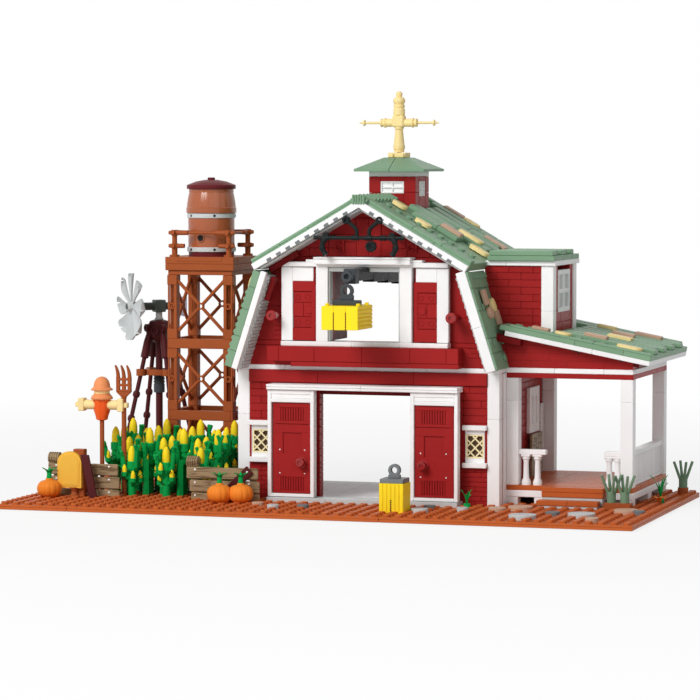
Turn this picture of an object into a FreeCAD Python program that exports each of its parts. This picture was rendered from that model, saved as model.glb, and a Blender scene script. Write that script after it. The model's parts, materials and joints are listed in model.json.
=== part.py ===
import FreeCAD, Part
import math
import os
import Sketcher
from types import SimpleNamespace

doc = FreeCAD.newDocument("toy_barn")
sheet = doc.addObject("Spreadsheet::Sheet", "Sizes")

# Every driving size, in millimetres or degrees. The garden left of the barn is laid out in equal bays.
SIZES = {
    "pitch": 8.0,
    "plate": 3.2,
    "stud_r": 2.4,
    "stud_h": 1.7,
    "run_gap": 0.3,
    "base_w": 416.0,
    "base_d": 208.0,
    "base_t": 3.2,
    "base_skin": 1.4,
    "base_rim": 2.4,
    "seam_left": 48.0,
    "seam_right": 32.0,
    "garden_bays": 17.0,
    "barn_x": 16.0,
    "barn_w": 176.0,
    "barn_d": 120.0,
    "set_back": 80.0,
    "wall_t": 8.0,
    "storey_h": 84.8,
    "band_h": 8.0,
    "band_proud": 1.6,
    "sill_h": 3.2,
    "track_d": 14.0,
    "header_h": 3.4,
    "door_w": 32.0,
    "door_h": 69.0,
    "door_t": 6.0,
    "stile_w": 2.4,
    "door_top_rail": 8.0,
    "door_foot_rail": 2.0,
    "leaf_t": 3.2,
    "tongue_t": 1.8,
    "tongue_h": 1.4,
    "pin_r": 1.0,
    "pin_len": 1.4,
    "knob_r": 2.8,
    "knob_len": 6.0,
    "knob_z": 26.0,
    "lattice_w": 12.8,
    "lattice_z": 31.0,
    "lattice_h": 20.8,
    "lattice_bar": 1.8,
    "ledge_h": 12.8,
    "ledge_d": 12.0,
    "loft_w": 48.0,
    "loft_h": 48.0,
    "jamb_t": 8.0,
    "shutter_w": 24.0,
    "shutter_t": 4.0,
    "peg_x": 60.0,
    "peg_z": 123.7,
    "ridge_z": 200.0,
    "break_drop": 42.0,
    "upper_half": 73.0,
    "lower_top_half": 70.0,
    "eave_half": 90.0,
    "roof_t": 6.0,
    "roof_front": 16.0,
    "roof_back": 4.0,
    "batten_w": 8.0,
    "batten_h": 1.6,
    "barge_t": 3.2,
    "barge_drop": 1.6,
    "cap_half": 7.0,
    "cap_t": 2.4,
    "rear_ring": 8.0,
    "beam_w": 8.0,
    "beam_h": 9.6,
    "beam_out": 38.0,
    "beam_in": 104.0,
    "lug_t": 3.0,
    "lug_len": 10.0,
    "eye_r": 2.2,
    "strap_t": 2.5,
    "strap_w": 5.0,
    "hang_h": 18.0,
    "bale_w": 24.0,
    "bale_d": 32.0,
    "bale_h": 15.0,
    "rail_drop": 8.74,
    "rail_out": 18.0,
    "rail_len": 60.0,
    "rail_r": 1.7,
    "cupola_back": 72.0,
    "cupola_w": 32.0,
    "cupola_z": 213.0,
    "cupola_eave": 48.0,
    "cupola_top": 16.0,
    "cupola_rise": 9.2,
    "pane_w": 16.0,
    "pane_h": 8.0,
    "pane_t": 1.2,
    "vane_foot": 12.0,
    "vane_half": 27.5,
    "vane_tip_z": 269.0,
    "dormer_back": 28.0,
    "dormer_d": 64.0,
    "dormer_out": 28.0,
    "dormer_z": 156.0,
    "porch_margin": 21.0,
    "porch_back": 16.0,
    "plinth_h": 6.4,
    "porch_post": 8.0,
    "porch_roof_left": 118.7,
    "porch_roof_fall": 18.4,
    "porch_eave": 13.0,
    "porch_roof_t": 3.2,
    "step_left": 24.0,
    "step_right": 19.0,
    "step_d": 8.0,
    "rail_top": 26.0,
    "tower_bay": 11.85,
    "tower_from_front": 144.0,
    "tower_w": 46.4,
    "tier_h": 48.0,
    "girder_t": 4.0,
    "girder_bar": 4.0,
    "platform_h": 12.0,
    "guard_h": 18.0,
    "guard_r": 1.6,
    "barrel_r": 16.0,
    "drum_h": 25.8,
    "cask_h": 19.4,
    "lid_h": 6.0,
    "mill_bay": 5.225,
    "mill_from_front": 184.0,
    "mill_spread": 2.6,
    "mill_hub_z": 110.0,
    "mill_axis_z": 123.2,
    "mill_pole_r": 2.6,
    "mill_yaw": 42.0,
    "rotor_out": 20.0,
    "rotor_r": 23.0,
    "rotor_hub_r": 3.6,
    "blade_pitch": 28.0,
    "blade_t": 1.4,
    "corn_bay": 6.125,
    "corn_from_front": 84.0,
    "corn_step": 3.0,
    "corn_shift": 2.2,
    "corn_row": 16.0,
    "corn_h": 34.6,
    "corn_front_h": 23.6,
    "cup_h": 5.0,
    "cob_h": 9.6,
    "fence_from_front": 60.0,
    "fence_h": 22.2,
    "fence_left": 1.4,
    "fence_right": 13.5,
    "fence_run": 6.25,
    "scare_bay": 5.7,
    "scare_from_front": 68.0,
    "scare_pole_h": 51.2,
    "sign_bay": 3.775,
    "sign_from_front": 50.0,
    "sign_w": 16.8,
    "sign_foot_h": 6.8,
    "sign_h": 23.8,
}

for row, (alias, number) in enumerate(SIZES.items(), start=1):
    sheet.set("A%d" % row, alias)
    sheet.set("B%d" % row, str(number))
    sheet.setAlias("B%d" % row, alias)
doc.recompute()


class Size:
    """A length worked out from the sheet: its number now and the formula that keeps it true."""

    def __init__(self, number, text):
        self.number = number
        self.text = text

    @staticmethod
    def of(value):
        return value if isinstance(value, Size) else Size(float(value), repr(float(value)))

    def joined(self, sign, other, number):
        return Size(number, "(%s %s %s)" % (self.text, sign, other.text))

    def __add__(self, other):
        other = Size.of(other)
        return self.joined("+", other, self.number + other.number)

    def __sub__(self, other):
        other = Size.of(other)
        return self.joined("-", other, self.number - other.number)

    def __mul__(self, other):
        other = Size.of(other)
        return self.joined("*", other, self.number * other.number)

    def __truediv__(self, other):
        other = Size.of(other)
        return self.joined("/", other, self.number / other.number)

    def __radd__(self, other):
        return Size.of(other) + self

    def __rsub__(self, other):
        return Size.of(other) - self

    def __rmul__(self, other):
        return Size.of(other) * self

    def __neg__(self):
        return Size.of(0.0) - self


s = SimpleNamespace(**{alias: Size(number, "Sizes." + alias) for alias, number in SIZES.items()})
nodes = []


def bind(item, prop, value):
    item.setExpression(prop, Size.of(value).text)


def place(item, x, y, z):
    bind(item, ".Placement.Base.x", x)
    bind(item, ".Placement.Base.y", y)
    bind(item, ".Placement.Base.z", z)


def about(centre, width):
    """The span of the given width that is centred on a position."""
    centre = Size.of(centre)
    return (centre - Size.of(width) / 2, centre + Size.of(width) / 2)


def block(label, x, y, z):
    """A box between two positions on each axis."""
    item = doc.addObject("Part::Box", label)
    bind(item, "Length", Size.of(x[1]) - x[0])
    bind(item, "Width", Size.of(y[1]) - y[0])
    bind(item, "Height", Size.of(z[1]) - z[0])
    place(item, x[0], y[0], z[0])
    return item


TURNS = {
    "z": FreeCAD.Rotation(),
    "x": FreeCAD.Rotation(FreeCAD.Vector(0, 1, 0), 90),
    "y": FreeCAD.Rotation(FreeCAD.Vector(1, 0, 0), -90),
}


def rod(label, axis, start, length, radius):
    """A cylinder that runs from a point along an axis."""
    item = doc.addObject("Part::Cylinder", label)
    bind(item, "Radius", radius)
    bind(item, "Height", length)
    item.Placement.Rotation = TURNS[axis]
    place(item, *start)
    return item


def bar(label, axis, start, length, radius, sides=8):
    """A straight bar with a many-sided section, that runs from a point along an axis."""
    item = doc.addObject("Part::Prism", label)
    item.Polygon = sides
    bind(item, "Circumradius", radius)
    bind(item, "Height", length)
    item.Placement.Rotation = TURNS[axis]
    place(item, *start)
    return item


def prism(label, plane, span, *loops):
    """A closed outline, with any inner outlines as holes, carried straight along the plane's normal."""
    body = doc.addObject("PartDesign::Body", label)
    sketch = body.newObject("Sketcher::SketchObject", label + "_outline")
    role = {"z": "XY_Plane", "y": "XZ_Plane", "x": "YZ_Plane"}[plane]
    support = [item for item in body.Origin.OriginFeatures if item.Role == role][0]
    sketch.AttachmentSupport = [(support, "")]
    sketch.MapMode = "FlatFace"
    start = Size.of(span[0])
    bind(sketch, ".AttachmentOffset.Base.z", -start if plane == "y" else start)
    for loop in loops:
        first = sketch.GeometryCount
        points = [(Size.of(u), Size.of(v)) for u, v in loop]
        count = len(points)
        for index in range(count):
            here = points[index]
            there = points[(index + 1) % count]
            sketch.addGeometry(Part.LineSegment(
                FreeCAD.Vector(here[0].number, here[1].number, 0),
                FreeCAD.Vector(there[0].number, there[1].number, 0)))
        for index in range(count):
            follower = first + (index + 1) % count
            sketch.addConstraint(Sketcher.Constraint("Coincident", first + index, 2, follower, 1))
        for index, (u, v) in enumerate(points):
            for kind, value in (("DistanceX", u), ("DistanceY", v)):
                number = sketch.addConstraint(Sketcher.Constraint(kind, first + index, 1, value.number))
                bind(sketch, "Constraints[%d]" % number, value)
    pad = body.newObject("PartDesign::Pad", label + "_pad")
    pad.Profile = sketch
    pad.Reversed = plane == "y"
    bind(pad, "Length", Size.of(span[1]) - start)
    body.Tip = pad
    return body


def frame_loop(u, v):
    """The four corners of a rectangle between two positions each way."""
    return [(u[0], v[0]), (u[1], v[0]), (u[1], v[1]), (u[0], v[1])]


def ring(label, sides, radius, x, y, z, turn=0.0):
    """A regular polygon lying level at a point, used as one section of a loft."""
    item = doc.addObject("Part::RegularPolygon", label)
    item.Polygon = sides
    bind(item, "Circumradius", radius)
    item.Placement.Rotation = FreeCAD.Rotation(FreeCAD.Vector(0, 0, 1), turn)
    place(item, x, y, z)
    return item


def loft(label, *sections):
    """A straight-sided solid through level sections."""
    item = doc.addObject("Part::Loft", label)
    item.Sections = list(sections)
    item.Solid = True
    item.Ruled = True
    return item


def strut(label, sides, radius, foot, head):
    """A leaning bar with level ends."""
    return loft(label, ring(label + "_foot", sides, radius, *foot), ring(label + "_head", sides, radius, *head))


def taper(label, start, length, radius, end_radius, sides=12):
    """An upright many-sided cone with a flat top, closed by flat faces."""
    turns = [2 * math.pi * index / sides for index in range(sides + 1)]
    low, high = [
        [FreeCAD.Vector(Size.of(r).number * math.cos(turn), Size.of(r).number * math.sin(turn), Size.of(z).number)
         for turn in turns]
        for r, z in ((radius, 0.0), (end_radius, length))]
    walls = [[low[index], low[index + 1], high[index + 1], high[index], low[index]] for index in range(sides)]
    item = doc.addObject("Part::Feature", label)
    item.Shape = Part.makeSolid(Part.makeShell([Part.Face(Part.makePolygon(loop)) for loop in [low, high] + walls]))
    place(item, *start)
    return item


def fuse(label, *items):
    item = doc.addObject("Part::MultiFuse", label)
    item.Shapes = list(items)
    return item


def cut(label, base, *tools):
    item = doc.addObject("Part::Cut", label)
    item.Base = base
    item.Tool = tools[0] if len(tools) == 1 else group(label + "_tools", *tools)
    return item


def group(label, *items):
    """Separate pieces of one kind, kept together under one name."""
    item = doc.addObject("Part::Compound", label)
    item.Links = list(items)
    return item


def node(item, label):
    """Give a finished piece the name that its file takes."""
    item.Label = label
    nodes.append(item)
    return item


left = -s.base_w / 2
right = s.base_w / 2
front = -s.base_d / 2
back = s.base_d / 2
ground = s.base_t
cx = s.barn_x
half = s.barn_w / 2
face = front + s.set_back
rear = face + s.barn_d
inner_face = face + s.wall_t
floor_z = ground + s.storey_h
loft_z = floor_z + s.plate
cupola_mid = face + s.cupola_back
dormer_front = face + s.dormer_back
dormer_x = cx + half + s.dormer_out
porch_x = right - s.porch_margin
porch_front = face + s.porch_back
bay = (cx - half - left) / s.garden_bays
tower_mid = (left + bay * s.tower_bay, front + s.tower_from_front)
mill_at = (left + bay * s.mill_bay, front + s.mill_from_front)
corn_at = (left + bay * s.corn_bay, front + s.corn_from_front)
fence_y = front + s.fence_from_front
scare = (left + bay * s.scare_bay, front + s.scare_from_front)
sign_at = (left + bay * s.sign_bay, front + s.sign_from_front)


def base_plate(label, x0, x1, studs):
    """One plate: a slab hollowed from below, with two rows of studs along its front edge."""
    body = doc.addObject("PartDesign::Body", label)
    origin = {item.Role: item for item in body.Origin.OriginFeatures}

    def sketched(name, z, loops):
        sketch = body.newObject("Sketcher::SketchObject", label + "_" + name)
        sketch.AttachmentSupport = [(origin["XY_Plane"], "")]
        sketch.MapMode = "FlatFace"
        bind(sketch, ".AttachmentOffset.Base.z", z)
        for loop in loops:
            first = sketch.GeometryCount
            count = len(loop)
            for index in range(count):
                here = loop[index]
                there = loop[(index + 1) % count]
                sketch.addGeometry(Part.LineSegment(
                    FreeCAD.Vector(here[0].number, here[1].number, 0),
                    FreeCAD.Vector(there[0].number, there[1].number, 0)))
            for index in range(count):
                follower = first + (index + 1) % count
                sketch.addConstraint(Sketcher.Constraint("Coincident", first + index, 2, follower, 1))
            for index, (u, v) in enumerate(loop):
                for kind, value in (("DistanceX", u), ("DistanceY", v)):
                    number = sketch.addConstraint(Sketcher.Constraint(kind, first + index, 1, value.number))
                    bind(sketch, "Constraints[%d]" % number, value)
        return sketch

    pad = body.newObject("PartDesign::Pad", label + "_slab")
    pad.Profile = sketched("outline", 0.0, [frame_loop((x0, x1), (front, back))])
    bind(pad, "Length", s.base_t)
    middle = (x0 + x1) / 2
    cells = []
    for x in ((x0 + s.base_rim, middle - s.base_rim / 2), (middle + s.base_rim / 2, x1 - s.base_rim)):
        for y in ((front + s.base_rim, -s.base_rim / 2), (s.base_rim / 2, back - s.base_rim)):
            cells.append(frame_loop(x, y))
    hollow = body.newObject("PartDesign::Pocket", label + "_hollow")
    hollow.Profile = sketched("cells", 0.0, cells)
    hollow.Reversed = True
    bind(hollow, "Length", s.base_t - s.base_skin)
    stud = body.newObject("PartDesign::Pad", label + "_stud")
    corners = [math.radians(45 * step) for step in range(8)]
    stud.Profile = sketched("stud_outline", s.base_t, [[
        (x0 + s.pitch / 2 + s.stud_r * math.cos(turn), front + s.pitch / 2 + s.stud_r * math.sin(turn))
        for turn in corners]])
    bind(stud, "Length", s.stud_h)
    rows = body.newObject("PartDesign::MultiTransform", label + "_studs")
    rows.Originals = [stud]
    along = body.newObject("PartDesign::LinearPattern", label + "_along")
    along.Direction = (origin["X_Axis"], [""])
    along.Occurrences = studs
    bind(along, "Length", s.pitch * (studs - 1))
    deep = body.newObject("PartDesign::LinearPattern", label + "_deep")
    deep.Direction = (origin["Y_Axis"], [""])
    deep.Occurrences = 2
    bind(deep, "Length", s.pitch)
    rows.Transformations = [along, deep]
    body.Tip = rows
    return body


# The base: three plates side by side.
seam_a = left + s.seam_left
seam_b = cx + s.seam_right
for label, x0, x1 in (
        ("base_plate_left", left, seam_a),
        ("base_plate_middle", seam_a, seam_b),
        ("base_plate_right", seam_b, right)):
    count = int(round((x1.number - x0.number) / s.pitch.number))
    node(base_plate(label, x0, x1, count), label)

# Lower storey: the front wall with its doorway and two small windows, plain side walls, four posts.
inner_left = cx - half + s.wall_t
inner_right = cx + half - s.wall_t
doorway = about(cx, 2 * s.door_w)
door_floor = ground + s.sill_h + s.run_gap
door_top = door_floor + s.door_h
outer = about(cx, 4 * s.door_w)
strip_left = (inner_left + outer[0]) / 2
strip_right = (inner_right + outer[1]) / 2
lattice_z = (s.lattice_z, s.lattice_z + s.lattice_h)
wall_holes = [frame_loop(about(x, s.lattice_w), lattice_z) for x in (strip_left, strip_right)]
lintel = door_top - s.run_gap
wall_outline = [
    (inner_left, ground), (doorway[0], ground), (doorway[0], lintel), (doorway[1], lintel),
    (doorway[1], ground), (inner_right, ground), (inner_right, floor_z), (inner_left, floor_z)]
front_wall = fuse(
    "front_wall_shape",
    prism("front_wall_slab", "y", (face, inner_face), wall_outline, *wall_holes),
    block("front_wall_band", (inner_left, inner_right), (face - s.band_proud, face), (floor_z - s.band_h, floor_z)))
node(front_wall, "front_wall")

side_y = (face + s.wall_t, rear - s.wall_t)
side_window_y = about((face + rear) / 2 - s.pitch * 3, 2 * s.pitch)
side_window_z = (ground + s.storey_h / 2, ground + s.storey_h / 2 + 3.5 * s.pitch)
node(group(
    "side_walls_all",
    block("left_wall", (cx - half, inner_left), side_y, (ground, floor_z)),
    prism("right_wall", "x", (inner_right, cx + half),
          frame_loop(side_y, (ground, floor_z)), frame_loop(side_window_y, side_window_z))), "side_walls")

posts = []
for side, x in (("l", (cx - half, inner_left)), ("r", (inner_right, cx + half))):
    for end, y in (("f", (face, inner_face)), ("b", (rear - s.wall_t, rear))):
        posts.append(block("corner_post_" + side + end, x, y, (ground, floor_z)))
node(group("corner_posts_all", *posts), "corner_posts")
rear_beam = block(
    "rear_beam", (inner_left, inner_right), (rear - s.wall_t, rear), (floor_z - s.beam_h, floor_z))
node(block("loft_floor_shape", (cx - half, cx + half), (face, rear), (floor_z, loft_z)), "loft_floor")

sills = []
lattices = []
for side, x in (("l", strip_left), ("r", strip_right)):
    wide = about(x, s.lattice_w)
    for level, z in (("low", (lattice_z[0] - s.plate, lattice_z[0])), ("high", (lattice_z[1], lattice_z[1] + s.plate))):
        sills.append(block("sill_%s_%s" % (side, level), wide, (face - 2 * s.band_proud, face), z))
    cells = []
    span = (s.lattice_h - s.lattice_bar) / 3
    for column in range(2):
        u0 = wide[0] + s.lattice_bar + column * (s.lattice_w - s.lattice_bar) / 2
        for level in range(3):
            v0 = lattice_z[0] + s.lattice_bar + level * span
            cells.append(frame_loop(
                (u0, u0 + (s.lattice_w - 3 * s.lattice_bar) / 2), (v0, v0 + span - s.lattice_bar)))
    lattices.append(prism(
        "lattice_" + side, "y", (face + s.band_proud, face + s.band_proud + s.lattice_bar),
        frame_loop(wide, lattice_z), *cells))
node(group("lattice_windows_all", *lattices), "lattice_windows")

# Sliding doors: a grooved sill and header carry two frames, each with a hinged leaf.
door_y = face - s.track_d / 2 - s.run_gap * 6
frame_y = about(door_y, s.door_t)
groove = about(door_y, s.tongue_t + 2 * s.run_gap)
track_y = (face - s.track_d, face)
groove_h = s.tongue_h + s.run_gap * 2
sill_z = ground + s.sill_h
header_z = (door_top + s.run_gap, door_top + s.run_gap + s.header_h)
node(cut(
    "door_sill_shape",
    block("door_sill_bar", outer, track_y, (ground, sill_z)),
    block("door_sill_groove", outer, groove, (sill_z - groove_h, sill_z))), "door_sill")
node(cut(
    "door_header_shape",
    block("door_header_bar", outer, track_y, header_z),
    block("door_header_groove", outer, groove, (header_z[0], header_z[0] + groove_h))), "door_header")


def sliding_door(name, x, hinge_side):
    """A white frame with tongues top and bottom, a red leaf on pins at its outer side and a round knob."""
    mid = (x[0] + x[1]) / 2
    opening_x = (x[0] + s.stile_w, x[1] - s.stile_w)
    opening_z = (door_floor + s.door_foot_rail, door_top - s.door_top_rail)
    leaf_x = (opening_x[0] + s.run_gap, opening_x[1] - s.run_gap)
    leaf_z = (opening_z[0] + s.run_gap, opening_z[1] - s.run_gap)
    turn_r = s.leaf_t / 2
    pin_x = leaf_x[0] + turn_r if hinge_side < 0 else leaf_x[1] - turn_r
    tongue_y = about(door_y, s.tongue_t)
    frame = fuse(
        "door_frame_%s_solid" % name,
        prism("door_frame_%s_ring" % name, "y", frame_y,
              frame_loop(x, (door_floor, door_top)), frame_loop(opening_x, opening_z)),
        block("door_tongue_%s_top" % name, x, tongue_y, (door_top, door_top + s.tongue_h)),
        block("door_tongue_%s_foot" % name, x, tongue_y, (door_floor - s.tongue_h, door_floor)))
    bore_r = s.pin_r + s.run_gap
    bore = s.pin_len + s.run_gap * 2
    holes = [
        rod("door_bore_%s_foot" % name, "z", (pin_x, door_y, opening_z[0] - bore), bore, bore_r),
        rod("door_bore_%s_top" % name, "z", (pin_x, door_y, opening_z[1]), bore, bore_r)]
    node(cut("door_frame_%s_shape" % name, frame, *holes), "door_frame_" + name)
    panel_x = (pin_x, leaf_x[1]) if hinge_side < 0 else (leaf_x[0], pin_x)
    tall = leaf_z[1] - leaf_z[0]
    leaf = fuse(
        "door_leaf_%s_shape" % name,
        block("door_leaf_%s_panel" % name, panel_x, about(door_y, s.leaf_t), leaf_z),
        rod("door_leaf_%s_edge" % name, "z", (pin_x, door_y, leaf_z[0]), tall, turn_r),
        rod("door_leaf_%s_pin" % name, "z", (pin_x, door_y, leaf_z[0] - s.pin_len), tall + 2 * s.pin_len, s.pin_r))
    node(leaf, "door_leaf_" + name)
    knob_x = leaf_x[1] - 2 * s.knob_r if hinge_side < 0 else leaf_x[0] + 2 * s.knob_r
    node(rod(
        "door_knob_%s_shape" % name, "y", (knob_x, door_y - s.leaf_t / 2 - s.knob_len, ground + s.knob_z),
        s.knob_len, s.knob_r), "door_knob_" + name)


sliding_door("left", (outer[0] + s.run_gap, doorway[0] - s.run_gap), -1)
sliding_door("right", (doorway[1] + s.run_gap, outer[1] - s.run_gap), 1)

# Loft front: the ledge, the gable with its opening, the white surround and two hinged shutters.
ledge_z = (loft_z, loft_z + s.ledge_h)
node(block("loft_ledge_shape", outer, (face - s.ledge_d, face), ledge_z), "loft_ledge")
opening = about(cx, s.loft_w)
opening_z = (ledge_z[1] + s.plate, ledge_z[1] + s.plate + s.loft_h)
roof_tv = s.plate * 2
fall = s.break_drop / s.upper_half


def under(offset):
    """Height of the upper roof's underside at a distance from the ridge."""
    return s.ridge_z - roof_tv - fall * offset


def over(offset):
    """Height of the upper roof's top at a distance from the ridge."""
    return s.ridge_z - fall * offset


wall_foot = s.eave_half - s.roof_t
wall_head = s.lower_top_half - s.roof_t
gable_outline = [
    (cx - wall_foot, loft_z), (cx + wall_foot, loft_z), (cx + wall_head, under(wall_head)),
    (cx, under(0.0)), (cx - wall_head, under(wall_head))]
wall_slope = (wall_foot - wall_head) / (under(wall_head) - loft_z)


def wall_half(z):
    """Half-width of the gable at a height, inside the steep lower slopes."""
    return wall_foot - wall_slope * (z - loft_z)


gable_y = (face, inner_face)
gable = [
    prism("gable_foot", "y", gable_y, [
        (cx - wall_foot, loft_z), (cx + wall_foot, loft_z),
        (cx + wall_half(opening_z[0]), opening_z[0]), (cx - wall_half(opening_z[0]), opening_z[0])]),
    prism("gable_top", "y", gable_y, [
        (cx - wall_half(opening_z[1]), opening_z[1]), (cx + wall_half(opening_z[1]), opening_z[1]),
        (cx + wall_head, under(wall_head)), (cx, under(0.0)), (cx - wall_head, under(wall_head))])]
for side, sign, edge in (("left", -1, opening[0]), ("right", 1, opening[1])):
    gable.append(prism("gable_" + side, "y", gable_y, [
        (edge, opening_z[0]), (cx + sign * wall_half(opening_z[0]), opening_z[0]),
        (cx + sign * wall_half(opening_z[1]), opening_z[1]), (edge, opening_z[1])]))
ring_foot = wall_foot - s.rear_ring * 1.2
ring_head = wall_head - s.rear_ring
rear_hole = [
    (cx - ring_foot, loft_z + s.rear_ring), (cx + ring_foot, loft_z + s.rear_ring),
    (cx + ring_head, under(wall_head) - s.rear_ring / 2), (cx, under(0.0) - s.rear_ring),
    (cx - ring_head, under(wall_head) - s.rear_ring / 2)]
rear_arch = prism("rear_arch", "y", (rear - s.wall_t, rear), gable_outline, rear_hole)
node(group("rear_frame_all", rear_beam, rear_arch), "rear_frame")

surround_y = (face - s.jamb_t, face)
surround_w = s.loft_w + 2 * s.pitch
surround = about(cx, surround_w)
shutter_span = about(cx, surround_w + 2 * s.shutter_w)
shutter_z = (opening_z[0] + s.run_gap, opening_z[1] - s.run_gap)
shutter_y = face - s.jamb_t / 2 - s.run_gap
rail_low = block("loft_rail_low", shutter_span, surround_y, (ledge_z[1], opening_z[0]))
rail_high = block("loft_rail_high", shutter_span, surround_y, (opening_z[1], opening_z[1] + s.plate))
shutter_pin = {"left": surround[0] - s.shutter_t / 2 - s.run_gap, "right": surround[1] + s.shutter_t / 2 + s.run_gap}
bore_r = s.pin_r + s.run_gap
low_bores = []
high_bores = []
bore_h = s.pin_len + s.run_gap * 2
for side, x in shutter_pin.items():
    low_bores.append(rod("shutter_bore_low_" + side, "z", (x, shutter_y, opening_z[0] - bore_h), bore_h, bore_r))
    high_bores.append(rod("shutter_bore_high_" + side, "z", (x, shutter_y, opening_z[1]), bore_h, bore_r))
node(group(
    "loft_surround_all",
    cut("loft_rail_low_bored", rail_low, *low_bores),
    cut("loft_rail_high_bored", rail_high, *high_bores),
    block("loft_jamb_left", (surround[0], opening[0]), surround_y, opening_z),
    block("loft_jamb_right", (opening[1], surround[1]), surround_y, opening_z),
    block("loft_hood", surround, (face - s.ledge_d, face), (opening_z[1] + s.plate, opening_z[1] + 2 * s.plate))),
    "loft_surround")

for side, sign in (("left", -1), ("right", 1)):
    pin_x = shutter_pin[side]
    tall = shutter_z[1] - shutter_z[0]
    far = pin_x + sign * (s.shutter_w - s.shutter_t / 2 - s.run_gap)
    edge = pin_x + sign * (s.shutter_w - s.shutter_t / 2 - s.pitch)
    thick = about(shutter_y, s.shutter_t)
    panel_x = (pin_x, edge) if sign > 0 else (edge, pin_x)
    stile_x = (edge, far) if sign > 0 else (far, edge)
    node(fuse(
        "shutter_%s_solid" % side,
        block("shutter_%s_panel" % side, panel_x, thick, shutter_z),
        rod("shutter_%s_edge" % side, "z", (pin_x, shutter_y, shutter_z[0]), tall, s.shutter_t / 2),
        rod("shutter_%s_pin" % side, "z", (pin_x, shutter_y, shutter_z[0] - s.pin_len),
            tall + 2 * s.pin_len, s.pin_r)), "shutter_" + side)
    node(block("shutter_stile_%s_shape" % side, stile_x, thick, shutter_z), "shutter_stile_" + side)

pegs = []
for side, sign in (("l", -1), ("r", 1)):
    pegs.append(rod(
        "gable_peg_" + side, "y", (cx + sign * s.peg_x, face - 2 * s.pitch, s.peg_z), 2 * s.pitch, s.stud_r))
node(group("front_gable_all", *gable, *pegs), "front_gable")

# Gable ironwork: a level rail on two arms, drop brackets, struts that spread up to the roof edge and a ring.
rail_y = face - s.rail_out
rail_z = over(s.rail_len / 2) - s.rail_drop
iron = [bar("rail_bar", "x", (cx - s.rail_len / 2, rail_y, rail_z), s.rail_len, s.rail_r)]
for side, sign in (("l", -1), ("r", 1)):
    arm_x = cx + sign * (s.rail_len / 2 - s.pitch)
    iron.append(bar("rail_arm_" + side, "y", (arm_x, rail_y, rail_z), s.rail_out, s.rail_r))
    iron.append(block("rail_drop_" + side, about(arm_x, s.rail_r * 2), about(rail_y, s.rail_r * 2),
                      (rail_z - s.pitch * 1.4, rail_z)))
    iron.append(strut("rail_strut_" + side, 8, s.rail_r, (cx + sign * s.pitch * 0.5, rail_y, rail_z),
                      (cx + sign * s.pitch * 1.3, rail_y, rail_z + s.pitch * 1.3)))
iron.append(cut(
    "rail_ring",
    bar("rail_ring_disc", "y", (cx + s.pitch, rail_y - s.rail_r, rail_z - 3 * s.rail_r), 2 * s.rail_r, 2.2 * s.rail_r),
    bar("rail_ring_hole", "y", (cx + s.pitch, rail_y - s.rail_r, rail_z - 3 * s.rail_r), 2 * s.rail_r, s.rail_r)))
node(fuse("gable_rail_shape", *iron), "gable_rail")

# Hoist: a beam under the lintel of the loft opening, an eye at its end, a shackle and a hay bale.
beam_x = about(cx, s.beam_w)
beam_z = (opening_z[1] - s.beam_h, opening_z[1])
beam_front = face - s.beam_out
eye_y = beam_front - s.lug_len / 2
eye_z = (beam_z[0] + beam_z[1]) / 2
lug = prism(
    "hoist_lug", "x", about(cx, s.lug_t),
    [(beam_front, beam_z[0]), (beam_front, beam_z[1]), (beam_front - s.lug_len, eye_z + s.eye_r * 1.6),
     (beam_front - s.lug_len, eye_z - s.eye_r * 1.6)])
node(cut(
    "hoist_beam_shape",
    fuse("hoist_beam_solid", block("hoist_beam_bar", beam_x, (beam_front, face + s.beam_in), beam_z), lug),
    rod("hoist_eye", "x", (cx - s.lug_t / 2, eye_y, eye_z), s.lug_t, s.eye_r)), "hoist_beam")
strap_in = s.lug_t / 2 + s.run_gap * 3
strap_out = strap_in + s.strap_t
bale_top = eye_z - s.hang_h
shackle = [
    rod("shackle_pin", "x", (cx - strap_out, eye_y, eye_z), strap_out * 2, s.eye_r - s.run_gap - 0.1),
    block("shackle_foot", (cx - strap_out, cx + strap_out), about(eye_y, s.strap_w), (bale_top, bale_top + s.plate))]
for side, x in (("l", (cx - strap_out, cx - strap_in)), ("r", (cx + strap_in, cx + strap_out))):
    shackle.append(block("shackle_strap_" + side, x, about(eye_y, s.strap_w), (bale_top + s.plate, eye_z)))
    shackle.append(rod("shackle_head_" + side, "x", (x[0], eye_y, eye_z), s.strap_t, s.strap_w / 2))
node(fuse("bale_shackle_shape", *shackle), "bale_shackle")
bale_z = (bale_top - s.bale_h, bale_top)
node(block("hay_bale_shape", about(cx, s.bale_w), about(eye_y, s.bale_d), bale_z), "hay_bale")

# Gambrel roof: two shallow upper slopes over two steep lower ones, with white edge boards.
roof_y = (face - s.roof_front, rear + s.roof_back)
for name, sign in (("left", -1), ("right", 1)):
    slab = prism("roof_upper_%s_slab" % name, "y", roof_y, [
        (cx, under(0.0)), (cx + sign * s.upper_half, under(s.upper_half)),
        (cx + sign * s.upper_half, over(s.upper_half)), (cx, over(0.0))])
    battens = []
    start = s.cupola_w / 2 + s.pitch / 4
    step = (roof_y[1] - roof_y[0] - s.batten_w - 1.5 * s.pitch) / 5
    for index in range(6):
        y = roof_y[0] + s.pitch + index * step
        battens.append(prism("batten_%s_%d" % (name, index), "y", (y, y + s.batten_w), [
            (cx + sign * start, over(start)), (cx + sign * (s.upper_half - 1), over(s.upper_half - 1)),
            (cx + sign * (s.upper_half - 1), over(s.upper_half - 1) + s.batten_h),
            (cx + sign * start, over(start) + s.batten_h)]))
    node(fuse("roof_upper_%s_shape" % name, slab, *battens), "roof_upper_" + name)

dormer_y = (dormer_front, dormer_front + s.dormer_d)


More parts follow.
